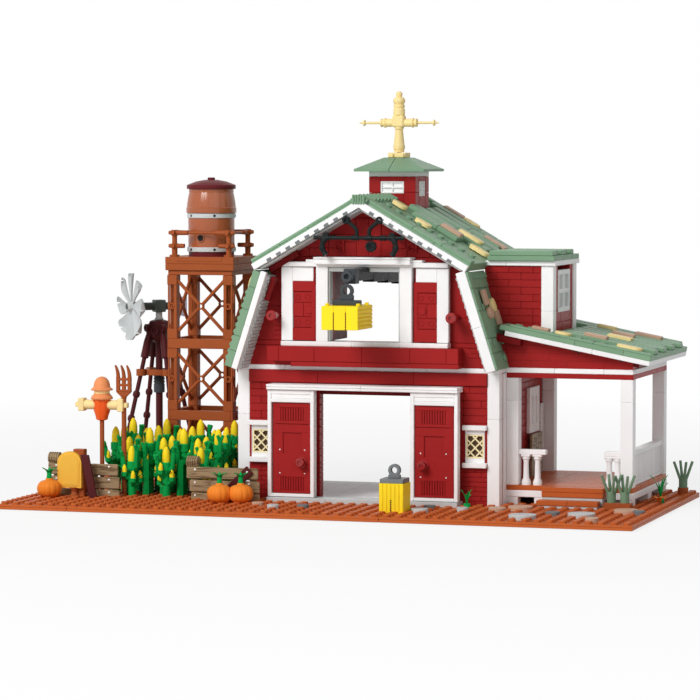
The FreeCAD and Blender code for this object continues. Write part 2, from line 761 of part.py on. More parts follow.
def lower_outline(sign):
    return [
        (cx + sign * wall_foot, loft_z), (cx + sign * s.eave_half, loft_z),
        (cx + sign * s.lower_top_half, under(s.lower_top_half)), (cx + sign * wall_head, under(wall_head))]


node(group(
    "roof_lower_all",
    prism("roof_lower_left", "y", roof_y, lower_outline(-1)),
    prism("roof_lower_right_front", "y", (roof_y[0], dormer_y[0]), lower_outline(1)),
    prism("roof_lower_right_rear", "y", (dormer_y[1], roof_y[1]), lower_outline(1))), "roof_lower")

boards = []
for end, y in (("f", (roof_y[0] - s.barge_t, roof_y[0])), ("b", (roof_y[1], roof_y[1] + s.barge_t))):
    for name, sign in (("l", -1), ("r", 1)):
        low = s.barge_drop
        boards.append(prism("barge_upper_%s%s" % (end, name), "y", y, [
            (cx, under(0.0) - low), (cx + sign * s.upper_half, under(s.upper_half) - low),
            (cx + sign * s.upper_half, over(s.upper_half) - low), (cx, over(0.0) - low)]))
        boards.append(prism("barge_lower_%s%s" % (end, name), "y", y, [
            (cx + sign * wall_foot, loft_z), (cx + sign * s.eave_half, loft_z),
            (cx + sign * s.lower_top_half, under(s.lower_top_half) - low),
            (cx + sign * wall_head, under(wall_head) - low)]))

cupola_y = about(cupola_mid, s.cupola_w)
caps = []
for end, y in (("f", (roof_y[0], cupola_y[0])), ("b", (cupola_y[1], roof_y[1]))):
    caps.append(prism("ridge_cap_" + end, "y", y, [
        (cx, over(0.0)), (cx + s.cap_half, over(s.cap_half)), (cx + s.cap_half, over(s.cap_half) + s.cap_t),
        (cx, over(0.0) + s.cap_t), (cx - s.cap_half, over(s.cap_half) + s.cap_t), (cx - s.cap_half, over(s.cap_half))]))
node(group("ridge_cap_all", *caps), "ridge_cap")

# Cupola astride the ridge, its windows, hipped roof and turning vane.
cupola_h = s.cupola_w / 2
cupola_x = about(cx, s.cupola_w)
cupola = prism("cupola_box", "y", cupola_y, [
    (cx, over(0.0)), (cupola_x[1], over(cupola_h)), (cupola_x[1], s.cupola_z),
    (cupola_x[0], s.cupola_z), (cupola_x[0], over(cupola_h))])
pane_z = (s.cupola_z - s.plate - s.pane_h, s.cupola_z - s.plate)
pane_x = about(cx, s.pane_w)
pane_y = about(cupola_mid, s.pane_w)
pane_spans = (
    ("f", pane_x, (cupola_y[0], cupola_y[0] + s.pane_t)), ("b", pane_x, (cupola_y[1] - s.pane_t, cupola_y[1])),
    ("l", (cupola_x[0], cupola_x[0] + s.pane_t), pane_y), ("r", (cupola_x[1] - s.pane_t, cupola_x[1]), pane_y))
node(cut(
    "cupola_walls_shape", cupola,
    *[block("cupola_recess_" + side, x, y, pane_z) for side, x, y in pane_spans]), "cupola_walls")
windows = [block("cupola_pane_" + side, x, y, pane_z) for side, x, y in pane_spans]
cupola_trim = block("cupola_trim", cupola_x, cupola_y, (s.cupola_z, s.cupola_z + s.plate))
eave_z = s.cupola_z + s.plate
brim_z = (eave_z, eave_z + s.plate / 2)
hip = doc.addObject("Part::Wedge", "cupola_hip")
hip.Placement.Rotation = FreeCAD.Rotation(FreeCAD.Vector(1, 0, 0), 90)
place(hip, cx, cupola_mid, brim_z[1])
for low, high, reach in (("Xmin", "Xmax", s.cupola_eave / 2), ("Zmin", "Zmax", s.cupola_eave / 2),
                         ("X2min", "X2max", s.cupola_top / 2), ("Z2min", "Z2max", s.cupola_top / 2)):
    bind(hip, low, -reach)
    bind(hip, high, reach)
bind(hip, "Ymin", 0.0)
bind(hip, "Ymax", s.cupola_rise - s.plate / 2)
cupola_roof = fuse(
    "cupola_roof_shape", hip,
    block("cupola_brim", about(cx, s.cupola_eave), about(cupola_mid, s.cupola_eave), brim_z))
node(cupola_roof, "cupola_roof")
vane_z = eave_z + s.cupola_rise
pivot_r = s.pin_r + 0.6
node(cut(
    "vane_socket_shape",
    block("vane_socket_block", about(cx, s.vane_foot), about(cupola_mid, s.vane_foot), (vane_z, vane_z + s.plate)),
    rod("vane_socket_bore", "z", (cx, cupola_mid, vane_z), s.plate, pivot_r + s.run_gap)), "vane_socket")
cone_z = vane_z + s.plate + s.run_gap
cross_z = cone_z + s.pitch * 2.4
vane = [
    rod("vane_pivot", "z", (cx, cupola_mid, vane_z + s.run_gap), s.plate + s.run_gap, pivot_r),
    taper("vane_cone", (cx, cupola_mid, cone_z), s.pitch * 1.9, s.pitch * 0.56, s.pitch * 0.3),
    block("vane_cross", about(cx, s.pitch), about(cupola_mid, s.pitch * 0.6),
          (cone_z + s.pitch * 1.9, cone_z + s.pitch * 3)),
    bar("vane_bar", "x", (cx - s.vane_half, cupola_mid, cross_z), s.vane_half * 2, s.stud_r / 2),
    bar("vane_sleeve", "x", (cx - s.vane_half / 2, cupola_mid, cross_z), s.vane_half, s.stud_r),
    bar("vane_tip_l", "x", (cx - s.vane_half, cupola_mid, cross_z), s.pitch / 2, s.stud_r),
    bar("vane_tip_r", "x", (cx + s.vane_half - s.pitch / 2, cupola_mid, cross_z), s.pitch / 2, s.stud_r),
    taper("vane_neck", (cx, cupola_mid, cone_z + s.pitch * 3), s.pitch * 0.8, s.pitch * 0.45, s.pitch * 0.35),
    taper("vane_finial", (cx, cupola_mid, cone_z + s.pitch * 3.8),
        s.vane_tip_z - cone_z - s.pitch * 3.8, s.pitch * 0.48, s.pitch * 0.25)]
node(fuse("weathervane_shape", *vane), "weathervane")

# Porch roof line, used by the dormer that stands on it.
porch_left = cx + half
eave_x = porch_x + s.porch_eave
porch_slope = s.porch_roof_fall / (eave_x - porch_left)
lower_slope = (s.eave_half - s.lower_top_half) / (under(s.lower_top_half) - loft_z)


def porch_top(x):
    return s.porch_roof_left - porch_slope * (x - porch_left)


def slab_x(z):
    """Position of the lower right slope's outer face at a height."""
    return cx + s.eave_half - lower_slope * (z - loft_z)


# Dormer on the right-hand slope.
eave_edge = cx + s.upper_half
dormer_top = s.dormer_z
trim_z = (dormer_top, dormer_top + s.plate)
meet_z = s.porch_roof_left
brow_z = under(s.upper_half)
dormer_box = prism("dormer_box", "y", dormer_y, [
    (slab_x(meet_z), porch_top(slab_x(meet_z))), (dormer_x, porch_top(dormer_x)), (dormer_x, dormer_top),
    (eave_edge, dormer_top), (eave_edge, brow_z), (slab_x(brow_z), brow_z)])
post_z = (porch_top(dormer_x - s.pitch), dormer_top)
dormer_posts = []
notches = []
for end, y in (("f", (dormer_y[0], dormer_y[0] + s.pitch)), ("b", (dormer_y[1] - s.pitch, dormer_y[1]))):
    x = (dormer_x - s.pitch, dormer_x)
    notches.append(block("dormer_notch_" + end, x, y, post_z))
    dormer_posts.append(block("dormer_post_" + end, x, y, post_z))
window_y = about((dormer_y[0] + dormer_y[1]) / 2, s.dormer_d / 2)
window_z = (dormer_top - s.plate - s.pitch * 3.4, dormer_top - s.plate)
window_x = (dormer_x - s.pane_t, dormer_x)
node(cut(
    "dormer_walls_shape", dormer_box, *notches,
    block("dormer_window_recess", window_x, window_y, window_z)), "dormer_walls")
windows.append(block("dormer_pane", window_x, window_y, window_z))
side_pane_x = about(cx + half - s.wall_t / 2, s.wall_t / 2)
windows.append(block("side_pane", side_pane_x, side_window_y, side_window_z))
node(group("window_panes_all", *windows), "window_panes")
node(group(
    "white_trim_all", *dormer_posts, *sills, cupola_trim,
    block("dormer_trim", (eave_edge, dormer_x + s.band_proud),
          (dormer_y[0] - s.band_proud, dormer_y[1] + s.band_proud), trim_z)), "white_trim")


def roof_x(z):
    """Position on the upper right slope's top at a height."""
    return cx + (s.ridge_z - z) / fall


tier_z = (trim_z[1], trim_z[1] + s.plate, trim_z[1] + 2 * s.plate)
step_out = s.pitch / 2
node(group(
    "dormer_roof_all",
    prism("dormer_tier_low", "y", (dormer_y[0] - step_out, dormer_y[1] + step_out), [
        (roof_x(tier_z[0]) + s.batten_h * 3, tier_z[0]), (dormer_x + step_out, tier_z[0]),
        (dormer_x + step_out, tier_z[1]), (roof_x(tier_z[1]) + s.batten_h * 3, tier_z[1])]),
    prism("dormer_tier_high", "y", dormer_y, [
        (roof_x(tier_z[1]) + s.batten_h * 3, tier_z[1]), (dormer_x, tier_z[1]),
        (dormer_x, tier_z[2]), (roof_x(tier_z[2]) + s.batten_h * 3, tier_z[2])])), "dormer_roof")

# Porch: plinth, deck, steps, posts, beams, railings and the shed roof.
porch_y = (porch_front, rear)
deck_z = (ground + s.plinth_h, ground + s.plinth_h + s.plate)
leg_z = (ground, deck_z[0])
legs = []
for index in range(5):
    x0 = porch_left + index * (porch_x - porch_left - s.pitch) / 4
    legs.append(block("plinth_leg_%d" % index, (x0, x0 + s.pitch), (porch_y[0], porch_y[0] + s.pitch), leg_z))
for index in range(1, 5):
    y0 = porch_y[0] + index * (porch_y[1] - porch_y[0] - s.pitch) / 4
    legs.append(block("plinth_side_%d" % index, (porch_x - s.pitch, porch_x), (y0, y0 + s.pitch), leg_z))
    legs.append(block("plinth_wall_%d" % index, (porch_left, porch_left + s.pitch), (y0, y0 + s.pitch), leg_z))
node(block(
    "porch_deck_shape", (porch_left, porch_x), (porch_y[0], porch_y[1]), deck_z), "porch_deck")
beam_low = (floor_z - s.plate, floor_z)
post_span = (deck_z[1], beam_low[0])
post_left = (porch_left + s.run_gap, porch_left + s.run_gap + s.porch_post)
post_right = (porch_x - s.porch_post, porch_x)
post_front = (porch_y[0], porch_y[0] + s.porch_post)
post_back = (porch_y[1] - s.porch_post, porch_y[1])
ring_spans = (
    ("front", (porch_left, porch_x), post_front), ("side", post_right, (post_front[1], post_back[0])),
    ("rear", (porch_left, porch_x), post_back))
node(group(
    "porch_frame_all", *legs,
    block("porch_post_fl", post_left, post_front, post_span),
    block("porch_post_fr", post_right, post_front, post_span),
    block("porch_post_br", post_right, post_back, post_span),
    *[block("porch_plate_" + name, x, y, (floor_z, loft_z)) for name, x, y in ring_spans]), "porch_frame")


def porch_under(x):
    return porch_top(x) - 2 * s.porch_roof_t


gable_left = slab_x(loft_z + s.pitch) + s.run_gap + s.pitch / 2
gables = [
    prism("porch_gable_" + name, "y", y, [
        (gable_left, loft_z), (porch_x, loft_z), (porch_x, porch_under(porch_x)),
        (gable_left, porch_under(gable_left))])
    for name, y in (("front", post_front), ("rear", post_back))]
node(group(
    "porch_gable_all", *gables,
    *[block("porch_beam_" + name, x, y, beam_low) for name, x, y in ring_spans]), "porch_gable")

shed_y = (porch_y[0] - s.pitch, rear + s.roof_back)


def shed_outline(low, high):
    """The shed roof's section between two depths below its top."""
    start = slab_x(s.porch_roof_left - low)
    end = slab_x(s.porch_roof_left - high)
    return [
        (start, porch_top(start) - low), (eave_x, porch_top(eave_x) - low),
        (eave_x, porch_top(eave_x) - high), (end, porch_top(end) - high)]


shed = prism("porch_roof_slab", "y", shed_y, shed_outline(s.porch_roof_t, 0.0 * s.plate))
ribs = []
rib_step = (shed_y[1] - shed_y[0] - s.batten_w - 1.5 * s.pitch) / 6
for index in range(7):
    y = shed_y[0] + s.pitch / 2 + index * rib_step
    rib_start = dormer_x + s.pitch if index > 0 else porch_left + s.pitch / 4
    rib_x = (rib_start, eave_x - s.pitch / 8)
    ribs.append(prism("porch_rib_%d" % index, "y", (y, y + s.batten_w), [
        (rib_x[0], porch_top(rib_x[0])), (rib_x[1], porch_top(rib_x[1])),
        (rib_x[1], porch_top(rib_x[1]) + s.batten_h), (rib_x[0], porch_top(rib_x[0]) + s.batten_h)]))
node(fuse("porch_roof_shape", shed, *ribs), "porch_roof")
soffit = prism("porch_soffit", "y", shed_y, shed_outline(2 * s.porch_roof_t, s.porch_roof_t))
node(group("barge_boards_all", soffit, *boards), "barge_boards")

steps_x = (porch_left + s.step_left, porch_x - s.step_right)
mid_z = (ground + deck_z[1]) / 2
node(group(
    "porch_steps_all",
    block("porch_step_low", steps_x, (porch_y[0] - 2 * s.step_d, porch_y[0] - s.step_d), (ground, mid_z)),
    block("porch_step_high", steps_x, (porch_y[0] - s.step_d, porch_y[0]), (ground, deck_z[1]))), "porch_steps")

rails = []
rail_span = (deck_z[1], deck_z[1] + s.rail_top)
for name, x in (("l", (post_left[1], steps_x[0])), ("r", (steps_x[1], post_right[0]))):
    centre = about((post_front[0] + post_front[1]) / 2, s.pitch / 2)
    rails.append(block("porch_handrail_" + name, x, centre, (rail_span[1] - s.plate, rail_span[1])))
    for spot in (1, 2):
        mid = x[0] + (x[1] - x[0]) * spot / 3
        low = rail_span[0]
        tall = s.rail_top - s.plate
        rails.append(bar(
            "baluster_%s%d" % (name, spot), "z", (mid, (post_front[0] + post_front[1]) / 2, low), tall, s.stud_r))
slats = []
slat_y = (post_front[1], post_back[0])
slat_z = (rail_span[0] + s.plate, rail_span[1] - s.plate)
for index in range(10):
    y0 = slat_y[0] + s.stud_r + index * (slat_y[1] - slat_y[0] - s.stud_r) / 10
    slats.append(frame_loop((y0, y0 + (slat_y[1] - slat_y[0] - s.stud_r) / 10 - s.stud_r), slat_z))
rails.append(prism(
    "porch_side_rail", "x", about((post_right[0] + post_right[1]) / 2, s.pitch / 2),
    frame_loop(slat_y, rail_span), *slats))
node(group("porch_railings_all", *rails), "porch_railings")

# Water tower: three tiers of cross-braced girders, a platform with a guard rail, and a barrel.
tower_x = about(tower_mid[0], s.tower_w)
tower_y = about(tower_mid[1], s.tower_w)


def girder(label, plane, span, u, z):
    """A flat panel braced corner to corner: a rectangle with four triangular holes."""
    u = (u[0] + s.girder_bar, u[1] - s.girder_bar)
    low = z[0] + s.girder_bar
    high = z[1] - s.girder_bar
    mid_u = (u[0] + u[1]) / 2
    mid_z = (low + high) / 2
    bar = s.girder_bar * 0.75
    inset = s.girder_bar * 0.9
    return prism(
        label, plane, span, frame_loop((u[0] - s.girder_bar, u[1] + s.girder_bar), z),
        [(u[0] + inset, low), (u[1] - inset, low), (mid_u, mid_z - bar)],
        [(u[0] + inset, high), (mid_u, mid_z + bar), (u[1] - inset, high)],
        [(u[0], low + inset), (mid_u - bar, mid_z), (u[0], high - inset)],
        [(u[1], low + inset), (u[1], high - inset), (mid_u + bar, mid_z)])


girders = []
for tier in range(3):
    z = (ground + tier * s.tier_h, ground + (tier + 1) * s.tier_h)
    for name, y in (("f", (tower_y[0], tower_y[0] + s.girder_t)), ("b", (tower_y[1] - s.girder_t, tower_y[1]))):
        girders.append(girder("girder_%s%d" % (name, tier), "y", y, tower_x, z))
    between = (tower_y[0] + s.girder_t, tower_y[1] - s.girder_t)
    for name, x in (("l", (tower_x[0], tower_x[0] + s.girder_t)), ("r", (tower_x[1] - s.girder_t, tower_x[1]))):
        girders.append(girder("girder_%s%d" % (name, tier), "x", x, between, z))
node(group("tower_girders_all", *girders), "tower_girders")
platform_z = (ground + 3 * s.tier_h, ground + 3 * s.tier_h + s.platform_h)
platform = block(
    "tower_deck", about(tower_mid[0], s.tower_w + 2), about(tower_mid[1], s.tower_w + 2), platform_z)
guard = []
inset = s.pitch / 2
guard_x = (tower_x[0] + inset, tower_x[1] - inset)
guard_y = (tower_y[0] + inset, tower_y[1] - inset)
for i in (0, 1):
    for j in (0, 1):
        guard.append(bar("guard_post_%d%d" % (i, j), "z", (guard_x[i], guard_y[j], platform_z[1]), s.guard_h, s.stud_r))
for level in (1, 2):
    z = platform_z[1] + s.guard_h * level / 2 - s.guard_r
    for i in (0, 1):
        guard.append(bar("guard_x_%d%d" % (level, i), "x", (guard_x[0], guard_y[i], z), guard_x[1] - guard_x[0], s.guard_r))
        guard.append(bar("guard_y_%d%d" % (level, i), "y", (guard_x[i], guard_y[0], z), guard_y[1] - guard_y[0], s.guard_r))
node(group("tower_platform_all", platform, fuse("tower_guard", *guard)), "tower_platform")
barrel_at = (tower_mid[0], tower_mid[1])
barrel_z = platform_z[1] + s.drum_h
barrel_top = barrel_z + s.cask_h
hoop_z = platform_z[1] + s.plate
staves = 24
node(fuse(
    "water_barrel_shape",
    bar("barrel_foot", "z", (*barrel_at, platform_z[1]), s.plate, s.barrel_r * 0.9, staves),
    bar("barrel_drum", "z", (*barrel_at, hoop_z), barrel_z - hoop_z, s.barrel_r - s.band_proud / 2, staves),
    bar("barrel_flare", "z", (*barrel_at, barrel_z), s.plate, s.barrel_r * 0.95, staves),
    taper("barrel_cask", (*barrel_at, barrel_z + s.plate), barrel_top - barrel_z - s.plate,
        s.barrel_r * 1.06, s.barrel_r * 0.9, staves)), "water_barrel")
hoops = []
for name, z in (("low", hoop_z), ("high", barrel_z)):
    outer_r = s.barrel_r + s.run_gap
    hole_r = s.barrel_r - s.band_proud / 2 if name == "low" else s.barrel_r * 0.95
    hoops.append(cut(
        "barrel_hoop_" + name, bar("hoop_disc_" + name, "z", (*barrel_at, z), s.plate, outer_r, staves),
        bar("hoop_hole_" + name, "z", (*barrel_at, z), s.plate, hole_r, staves)))
node(group("barrel_hoops_all", *hoops), "barrel_hoops")
node(fuse(
    "barrel_lid_shape",
    bar("lid_rim", "z", (*barrel_at, barrel_top), s.lid_h / 3, s.barrel_r, staves),
    taper("lid_crown", (*barrel_at, barrel_top + s.lid_h / 3), s.lid_h * 2 / 3, s.barrel_r, s.barrel_r / 3, staves),
    rod("lid_stud", "z", (*barrel_at, barrel_top + s.lid_h), s.stud_h, s.stud_r)), "barrel_lid")

# Windmill: four leaning legs and a pole, a turning head with a tail vane, and a spinning rotor.
stand = [
    bar("mill_pole", "z", (*mill_at, ground), s.mill_hub_z - ground, s.mill_pole_r),
    block("mill_cap", about(mill_at[0], s.pitch * 2), about(mill_at[1], s.pitch * 2), (s.mill_hub_z - s.pitch, s.mill_hub_z)),
    bar("mill_neck", "z", (*mill_at, s.mill_hub_z), s.pitch, s.pitch * 0.6),
    rod("mill_spigot", "z", (*mill_at, s.mill_hub_z + s.pitch), s.pitch * 0.4, s.pin_r * 1.6)]
for i in (-1, 1):
    for j in (-1, 1):
        stand.append(strut(
            "mill_leg_%d%d" % (i + 1, j + 1), 8, s.stud_r * 0.8,
            (mill_at[0] + i * bay * s.mill_spread, mill_at[1] + j * bay * s.mill_spread, ground),
            (mill_at[0] + i * s.pitch * 0.6, mill_at[1] + j * s.pitch * 0.6, s.mill_hub_z - s.pitch / 2)))
node(fuse("mill_stand_shape", *stand), "mill_stand")

yaw = FreeCAD.Rotation(FreeCAD.Vector(0, 0, 1), s.mill_yaw.number)


def turned(item, *more):
    """Swing a piece built about the mill's own axis to the way that the mill faces."""
    turn = yaw
    for step in more:
        turn = turn.multiply(step)
    item.Placement = FreeCAD.Placement(FreeCAD.Vector(0, 0, 0), turn)
    place(item, mill_at[0], mill_at[1], s.mill_axis_z)
    return item


head_low = s.mill_hub_z + s.pitch + s.run_gap - s.mill_axis_z
shaft_end = -s.rotor_out - s.pitch * 0.9
head = cut(
    "mill_head_solid",
    fuse(
        "mill_head_parts",
        block("mill_head_block", about(0.0, s.pitch), about(0.0, s.pitch), (head_low, s.pitch * 0.6)),
        rod("mill_shaft", "x", (shaft_end, 0.0, 0.0), -shaft_end, s.stud_r * 0.8),
        block("mill_collar", (-s.rotor_out + s.pitch * 0.55, 0.0), about(0.0, s.pitch * 0.75), about(0.0, s.pitch * 0.75)),
        block("mill_tail_boom", (0.0, s.pitch * 1.4), about(0.0, s.stud_r), about(0.0, s.stud_r)),
        prism("mill_tail", "y", about(0.0, s.plate / 2), [
            (s.pitch * 1.2, -s.pitch * 0.5), (s.pitch * 2.6, -s.pitch), (s.pitch * 2.6, s.pitch),
            (s.pitch * 1.2, s.pitch * 0.5)])),
    rod("mill_head_bore", "z", (0.0, 0.0, head_low), s.pitch * 0.5, s.pin_r * 1.6 + s.run_gap))
node(turned(head), "mill_head")

hub = cut(
    "rotor_hub",
    rod("rotor_hub_disc", "x", (-s.rotor_out - s.pitch / 2, 0.0, 0.0), s.pitch, s.rotor_hub_r),
    rod("rotor_hub_bore", "x", (-s.rotor_out - s.pitch / 2, 0.0, 0.0), s.pitch, s.stud_r * 0.8 + s.run_gap))
blades = [hub]
for index in range(6):
    blade = prism("rotor_blade_%d" % index, "x", about(0.0, s.blade_t), [
        (-s.rotor_hub_r * 0.5, s.rotor_hub_r * 0.85), (s.rotor_hub_r * 0.5, s.rotor_hub_r * 0.85),
        (s.rotor_r * 0.2, s.rotor_r * 0.5), (s.rotor_r * 0.22, s.rotor_r * 0.85), (s.rotor_r * 0.12, s.rotor_r),
        (-s.rotor_r * 0.12, s.rotor_r), (-s.rotor_r * 0.22, s.rotor_r * 0.85), (-s.rotor_r * 0.2, s.rotor_r * 0.5)])
    around = FreeCAD.Rotation(FreeCAD.Vector(1, 0, 0), 60.0 * index)
    twist = FreeCAD.Rotation(FreeCAD.Vector(0, 0, 1), s.blade_pitch.number)
    blade.Placement = FreeCAD.Placement(FreeCAD.Vector(0, 0, 0), around.multiply(twist))
    bind(blade, ".Placement.Base.x", -s.rotor_out)
    blades.append(blade)
node(turned(fuse("mill_rotor_shape", *blades)), "mill_rotor")

# Corn field: rows of stalks with a cup that holds a cob, a fence, a scarecrow and a blank sign.
stalks = []
cobs = []
corn_rows = (
    ("front", corn_at[1] - s.corn_row, bay * s.corn_shift, s.corn_front_h),
    ("near", corn_at[1], bay * 0.0, s.corn_h),
    ("mid", corn_at[1] + s.corn_row, bay * 0.0, s.corn_h),
    ("far", corn_at[1] + s.corn_row * 2, bay * 0.0, s.corn_h + s.plate))
for row, y, shift, tall in corn_rows:
    for column in range(3 if row == "front" else 4):
        x = corn_at[0] + shift + bay * column * s.corn_step
        name = "%s_%d" % (row, column)
        stalks.append(fuse(
            "corn_plant_" + name,
            bar("corn_stalk_" + name, "z", (x, y, ground), tall, s.stud_r * 0.9, 6),
            bar("corn_cup_" + name, "z", (x, y, ground + tall - s.cup_h), s.cup_h, s.stud_r * 1.3, 8)))
        cobs.append(taper(
            "corn_cob_" + name, (x, y, ground + tall), s.cob_h, s.stud_r * 1.1, s.stud_r * 0.4, 8))
node(group("corn_stalks_all", *stalks), "corn_stalks")
node(group("corn_cobs_all", *cobs), "corn_cobs")

rails_and_posts = []
run = bay * s.fence_run
post_w = s.stud_r * 1.6
for name, x0 in (("a", left + bay * s.fence_left), ("b", left + bay * s.fence_right)):
    for index in range(4):
        x = x0 + s.plate + (run - s.plate * 2 - post_w) * index / 3
        rails_and_posts.append(block(
            "fence_post_%s%d" % (name, index), (x, x + post_w), (fence_y, fence_y + s.plate), (ground, ground + s.fence_h)))
    for side, level in (("low", 0.43), ("high", 0.82)):
        z = ground + s.fence_h * level
        rails_and_posts.append(block(
            "fence_board_%s_%s" % (name, side), (x0, x0 + run), (fence_y - s.plate / 2, fence_y),
            (z - s.pitch / 2 + s.run_gap, z + s.pitch / 2 - s.run_gap)))
node(group("fence_all", *rails_and_posts), "fence")

coat_z = ground + s.scare_pole_h
neck_z = coat_z + s.pitch * 1.5
brim_at = neck_z + s.pitch * 0.85
node(fuse(
    "scarecrow_shape",
    bar("scare_pole", "z", (*scare, ground), s.scare_pole_h, s.stud_r * 0.8),
    block("scare_coat", about(scare[0], s.pitch * 1.4), about(scare[1], s.pitch), (coat_z, neck_z)),
    bar("scare_collar", "z", (*scare, neck_z - s.plate / 2), s.plate, s.pitch * 0.85),
    block("scare_arms", about(scare[0], s.pitch * 4.2), about(scare[1], s.plate), (coat_z + s.pitch * 0.8, neck_z)),
    bar("scare_head", "z", (*scare, neck_z), s.pitch * 0.85, s.pitch * 0.6),
    bar("scare_brim", "z", (*scare, brim_at), s.plate / 2, s.pitch * 0.95),
    taper("scare_hat", (*scare, brim_at + s.plate / 2), s.pitch * 0.9, s.pitch * 0.65, s.pitch * 0.4)), "scarecrow")
board_z = (ground + s.sign_foot_h, ground + s.sign_foot_h + s.sign_h)
board_x = about(sign_at[0], s.sign_w)
shoulder = s.sign_w / 4
node(fuse(
    "sign_board_shape",
    bar("sign_post", "z", (sign_at[0], sign_at[1], ground), s.sign_foot_h + s.plate, s.stud_r),
    prism("sign_plate", "y", about(sign_at[1], s.plate), [
        (board_x[0], board_z[0]), (board_x[1], board_z[0]), (board_x[1], board_z[1] - shoulder * 1.4),
        (board_x[1] - shoulder * 0.5, board_z[1] - shoulder * 0.5), (board_x[1] - shoulder * 1.4, board_z[1]),
        (board_x[0] + shoulder * 1.4, board_z[1]), (board_x[0] + shoulder * 0.5, board_z[1] - shoulder * 0.5),
        (board_x[0], board_z[1] - shoulder * 1.4)])), "sign_board")

doc.recompute()

faults = []
for item in doc.Objects:
    if "Invalid" in item.State or "Error" in item.State:
        faults.append("%s is %s" % (item.Name, item.State))
for item in nodes:
    shape = item.Shape
    if shape.isNull() or not shape.isValid() or not shape.Solids:
        faults.append("%s has no sound shape" % item.Label)
if faults:
    raise RuntimeError("; ".join(faults))

os.makedirs("parts", exist_ok=True)
for item in nodes:
    item.Shape.exportStep(os.path.join("parts", item.Label + ".step"))
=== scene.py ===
import json
import math
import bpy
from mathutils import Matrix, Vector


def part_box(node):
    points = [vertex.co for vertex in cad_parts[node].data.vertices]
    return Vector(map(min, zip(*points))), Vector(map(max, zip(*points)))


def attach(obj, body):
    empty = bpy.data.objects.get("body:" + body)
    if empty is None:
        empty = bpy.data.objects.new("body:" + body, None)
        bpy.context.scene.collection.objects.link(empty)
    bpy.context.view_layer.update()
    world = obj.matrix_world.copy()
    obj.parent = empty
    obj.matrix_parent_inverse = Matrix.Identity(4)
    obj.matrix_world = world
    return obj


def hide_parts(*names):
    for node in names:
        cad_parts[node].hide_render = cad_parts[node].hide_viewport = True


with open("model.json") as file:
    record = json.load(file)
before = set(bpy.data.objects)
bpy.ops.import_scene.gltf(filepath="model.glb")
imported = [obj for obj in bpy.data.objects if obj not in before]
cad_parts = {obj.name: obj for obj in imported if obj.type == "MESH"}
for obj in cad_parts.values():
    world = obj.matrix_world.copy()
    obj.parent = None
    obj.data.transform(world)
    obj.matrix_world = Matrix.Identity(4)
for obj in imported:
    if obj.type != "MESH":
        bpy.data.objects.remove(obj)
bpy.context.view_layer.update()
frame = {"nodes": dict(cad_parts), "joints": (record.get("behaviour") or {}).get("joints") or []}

from types import SimpleNamespace

import bpy
import numpy as np
from bpy.props import FloatProperty, FloatVectorProperty, PointerProperty
from bpy.types import Operator, Panel, PropertyGroup

bl_info = {
    "name": "Toy barn",
    "version": (1, 0, 0),
    "blender": (4, 5, 0),
    "location": "3D View > Sidebar > Toy barn",
    "description": "Dresses a toy barn with its bricks, roof plates, tower, windmill and garden",
    "category": "Object",
}

MM = 0.001
SHARP = math.radians(35)


def span(node):
    """The box of a node at rest, in millimetres: each axis's pair of bounds, each bound, and its middle."""
    bounds = {}
    for axis, low, high in zip("xyz", *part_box(node)):
        pair = (low / MM, high / MM)
        bounds.update({axis: pair, axis + "0": pair[0], axis + "1": pair[1],
                       "c" + axis: (pair[0] + pair[1]) / 2})
    return SimpleNamespace(**bounds)


def within(low, high, gap=0.05):
    """A span drawn in by a gap at both ends."""
    return (low + gap, high - gap)


def pairs(cuts):
    """Each cut with the next one."""
    return list(zip(cuts, cuts[1:]))


# Sizes and paints that a user would change.

def length(name, description, default):
    """A length property whose default is given in millimetres."""
    return FloatProperty(name=name, description=description, default=default * MM,
                         unit="LENGTH", precision=5)


def paint(name, red, green, blue):
    """A colour property whose default is given as screen values from 0 to 255."""
    return FloatVectorProperty(
        name=name, description="Colour of the " + name.lower(), subtype="COLOR_GAMMA", size=3,
        min=0, max=1, default=(red / 255, green / 255, blue / 255))


class BarnSizes(PropertyGroup):
    """Sizes of the bricks that the barn is built from."""

    pitch: length("Pitch", "Distance between two studs", 8)
    plate: length("Plate", "Height of a plate", 3.2)
    course: length("Course", "Height of one moulded course on a wall", 4.8)
    stud_r: length("Stud radius", "Radius of a stud", 2.4)
    stud_h: length("Stud height", "Height of a stud", 1.7)
    bevel: length("Edge", "Width of the rounded edge of a brick", 0.28)
    seam: length("Seam", "Gap between two bricks", 0.1)


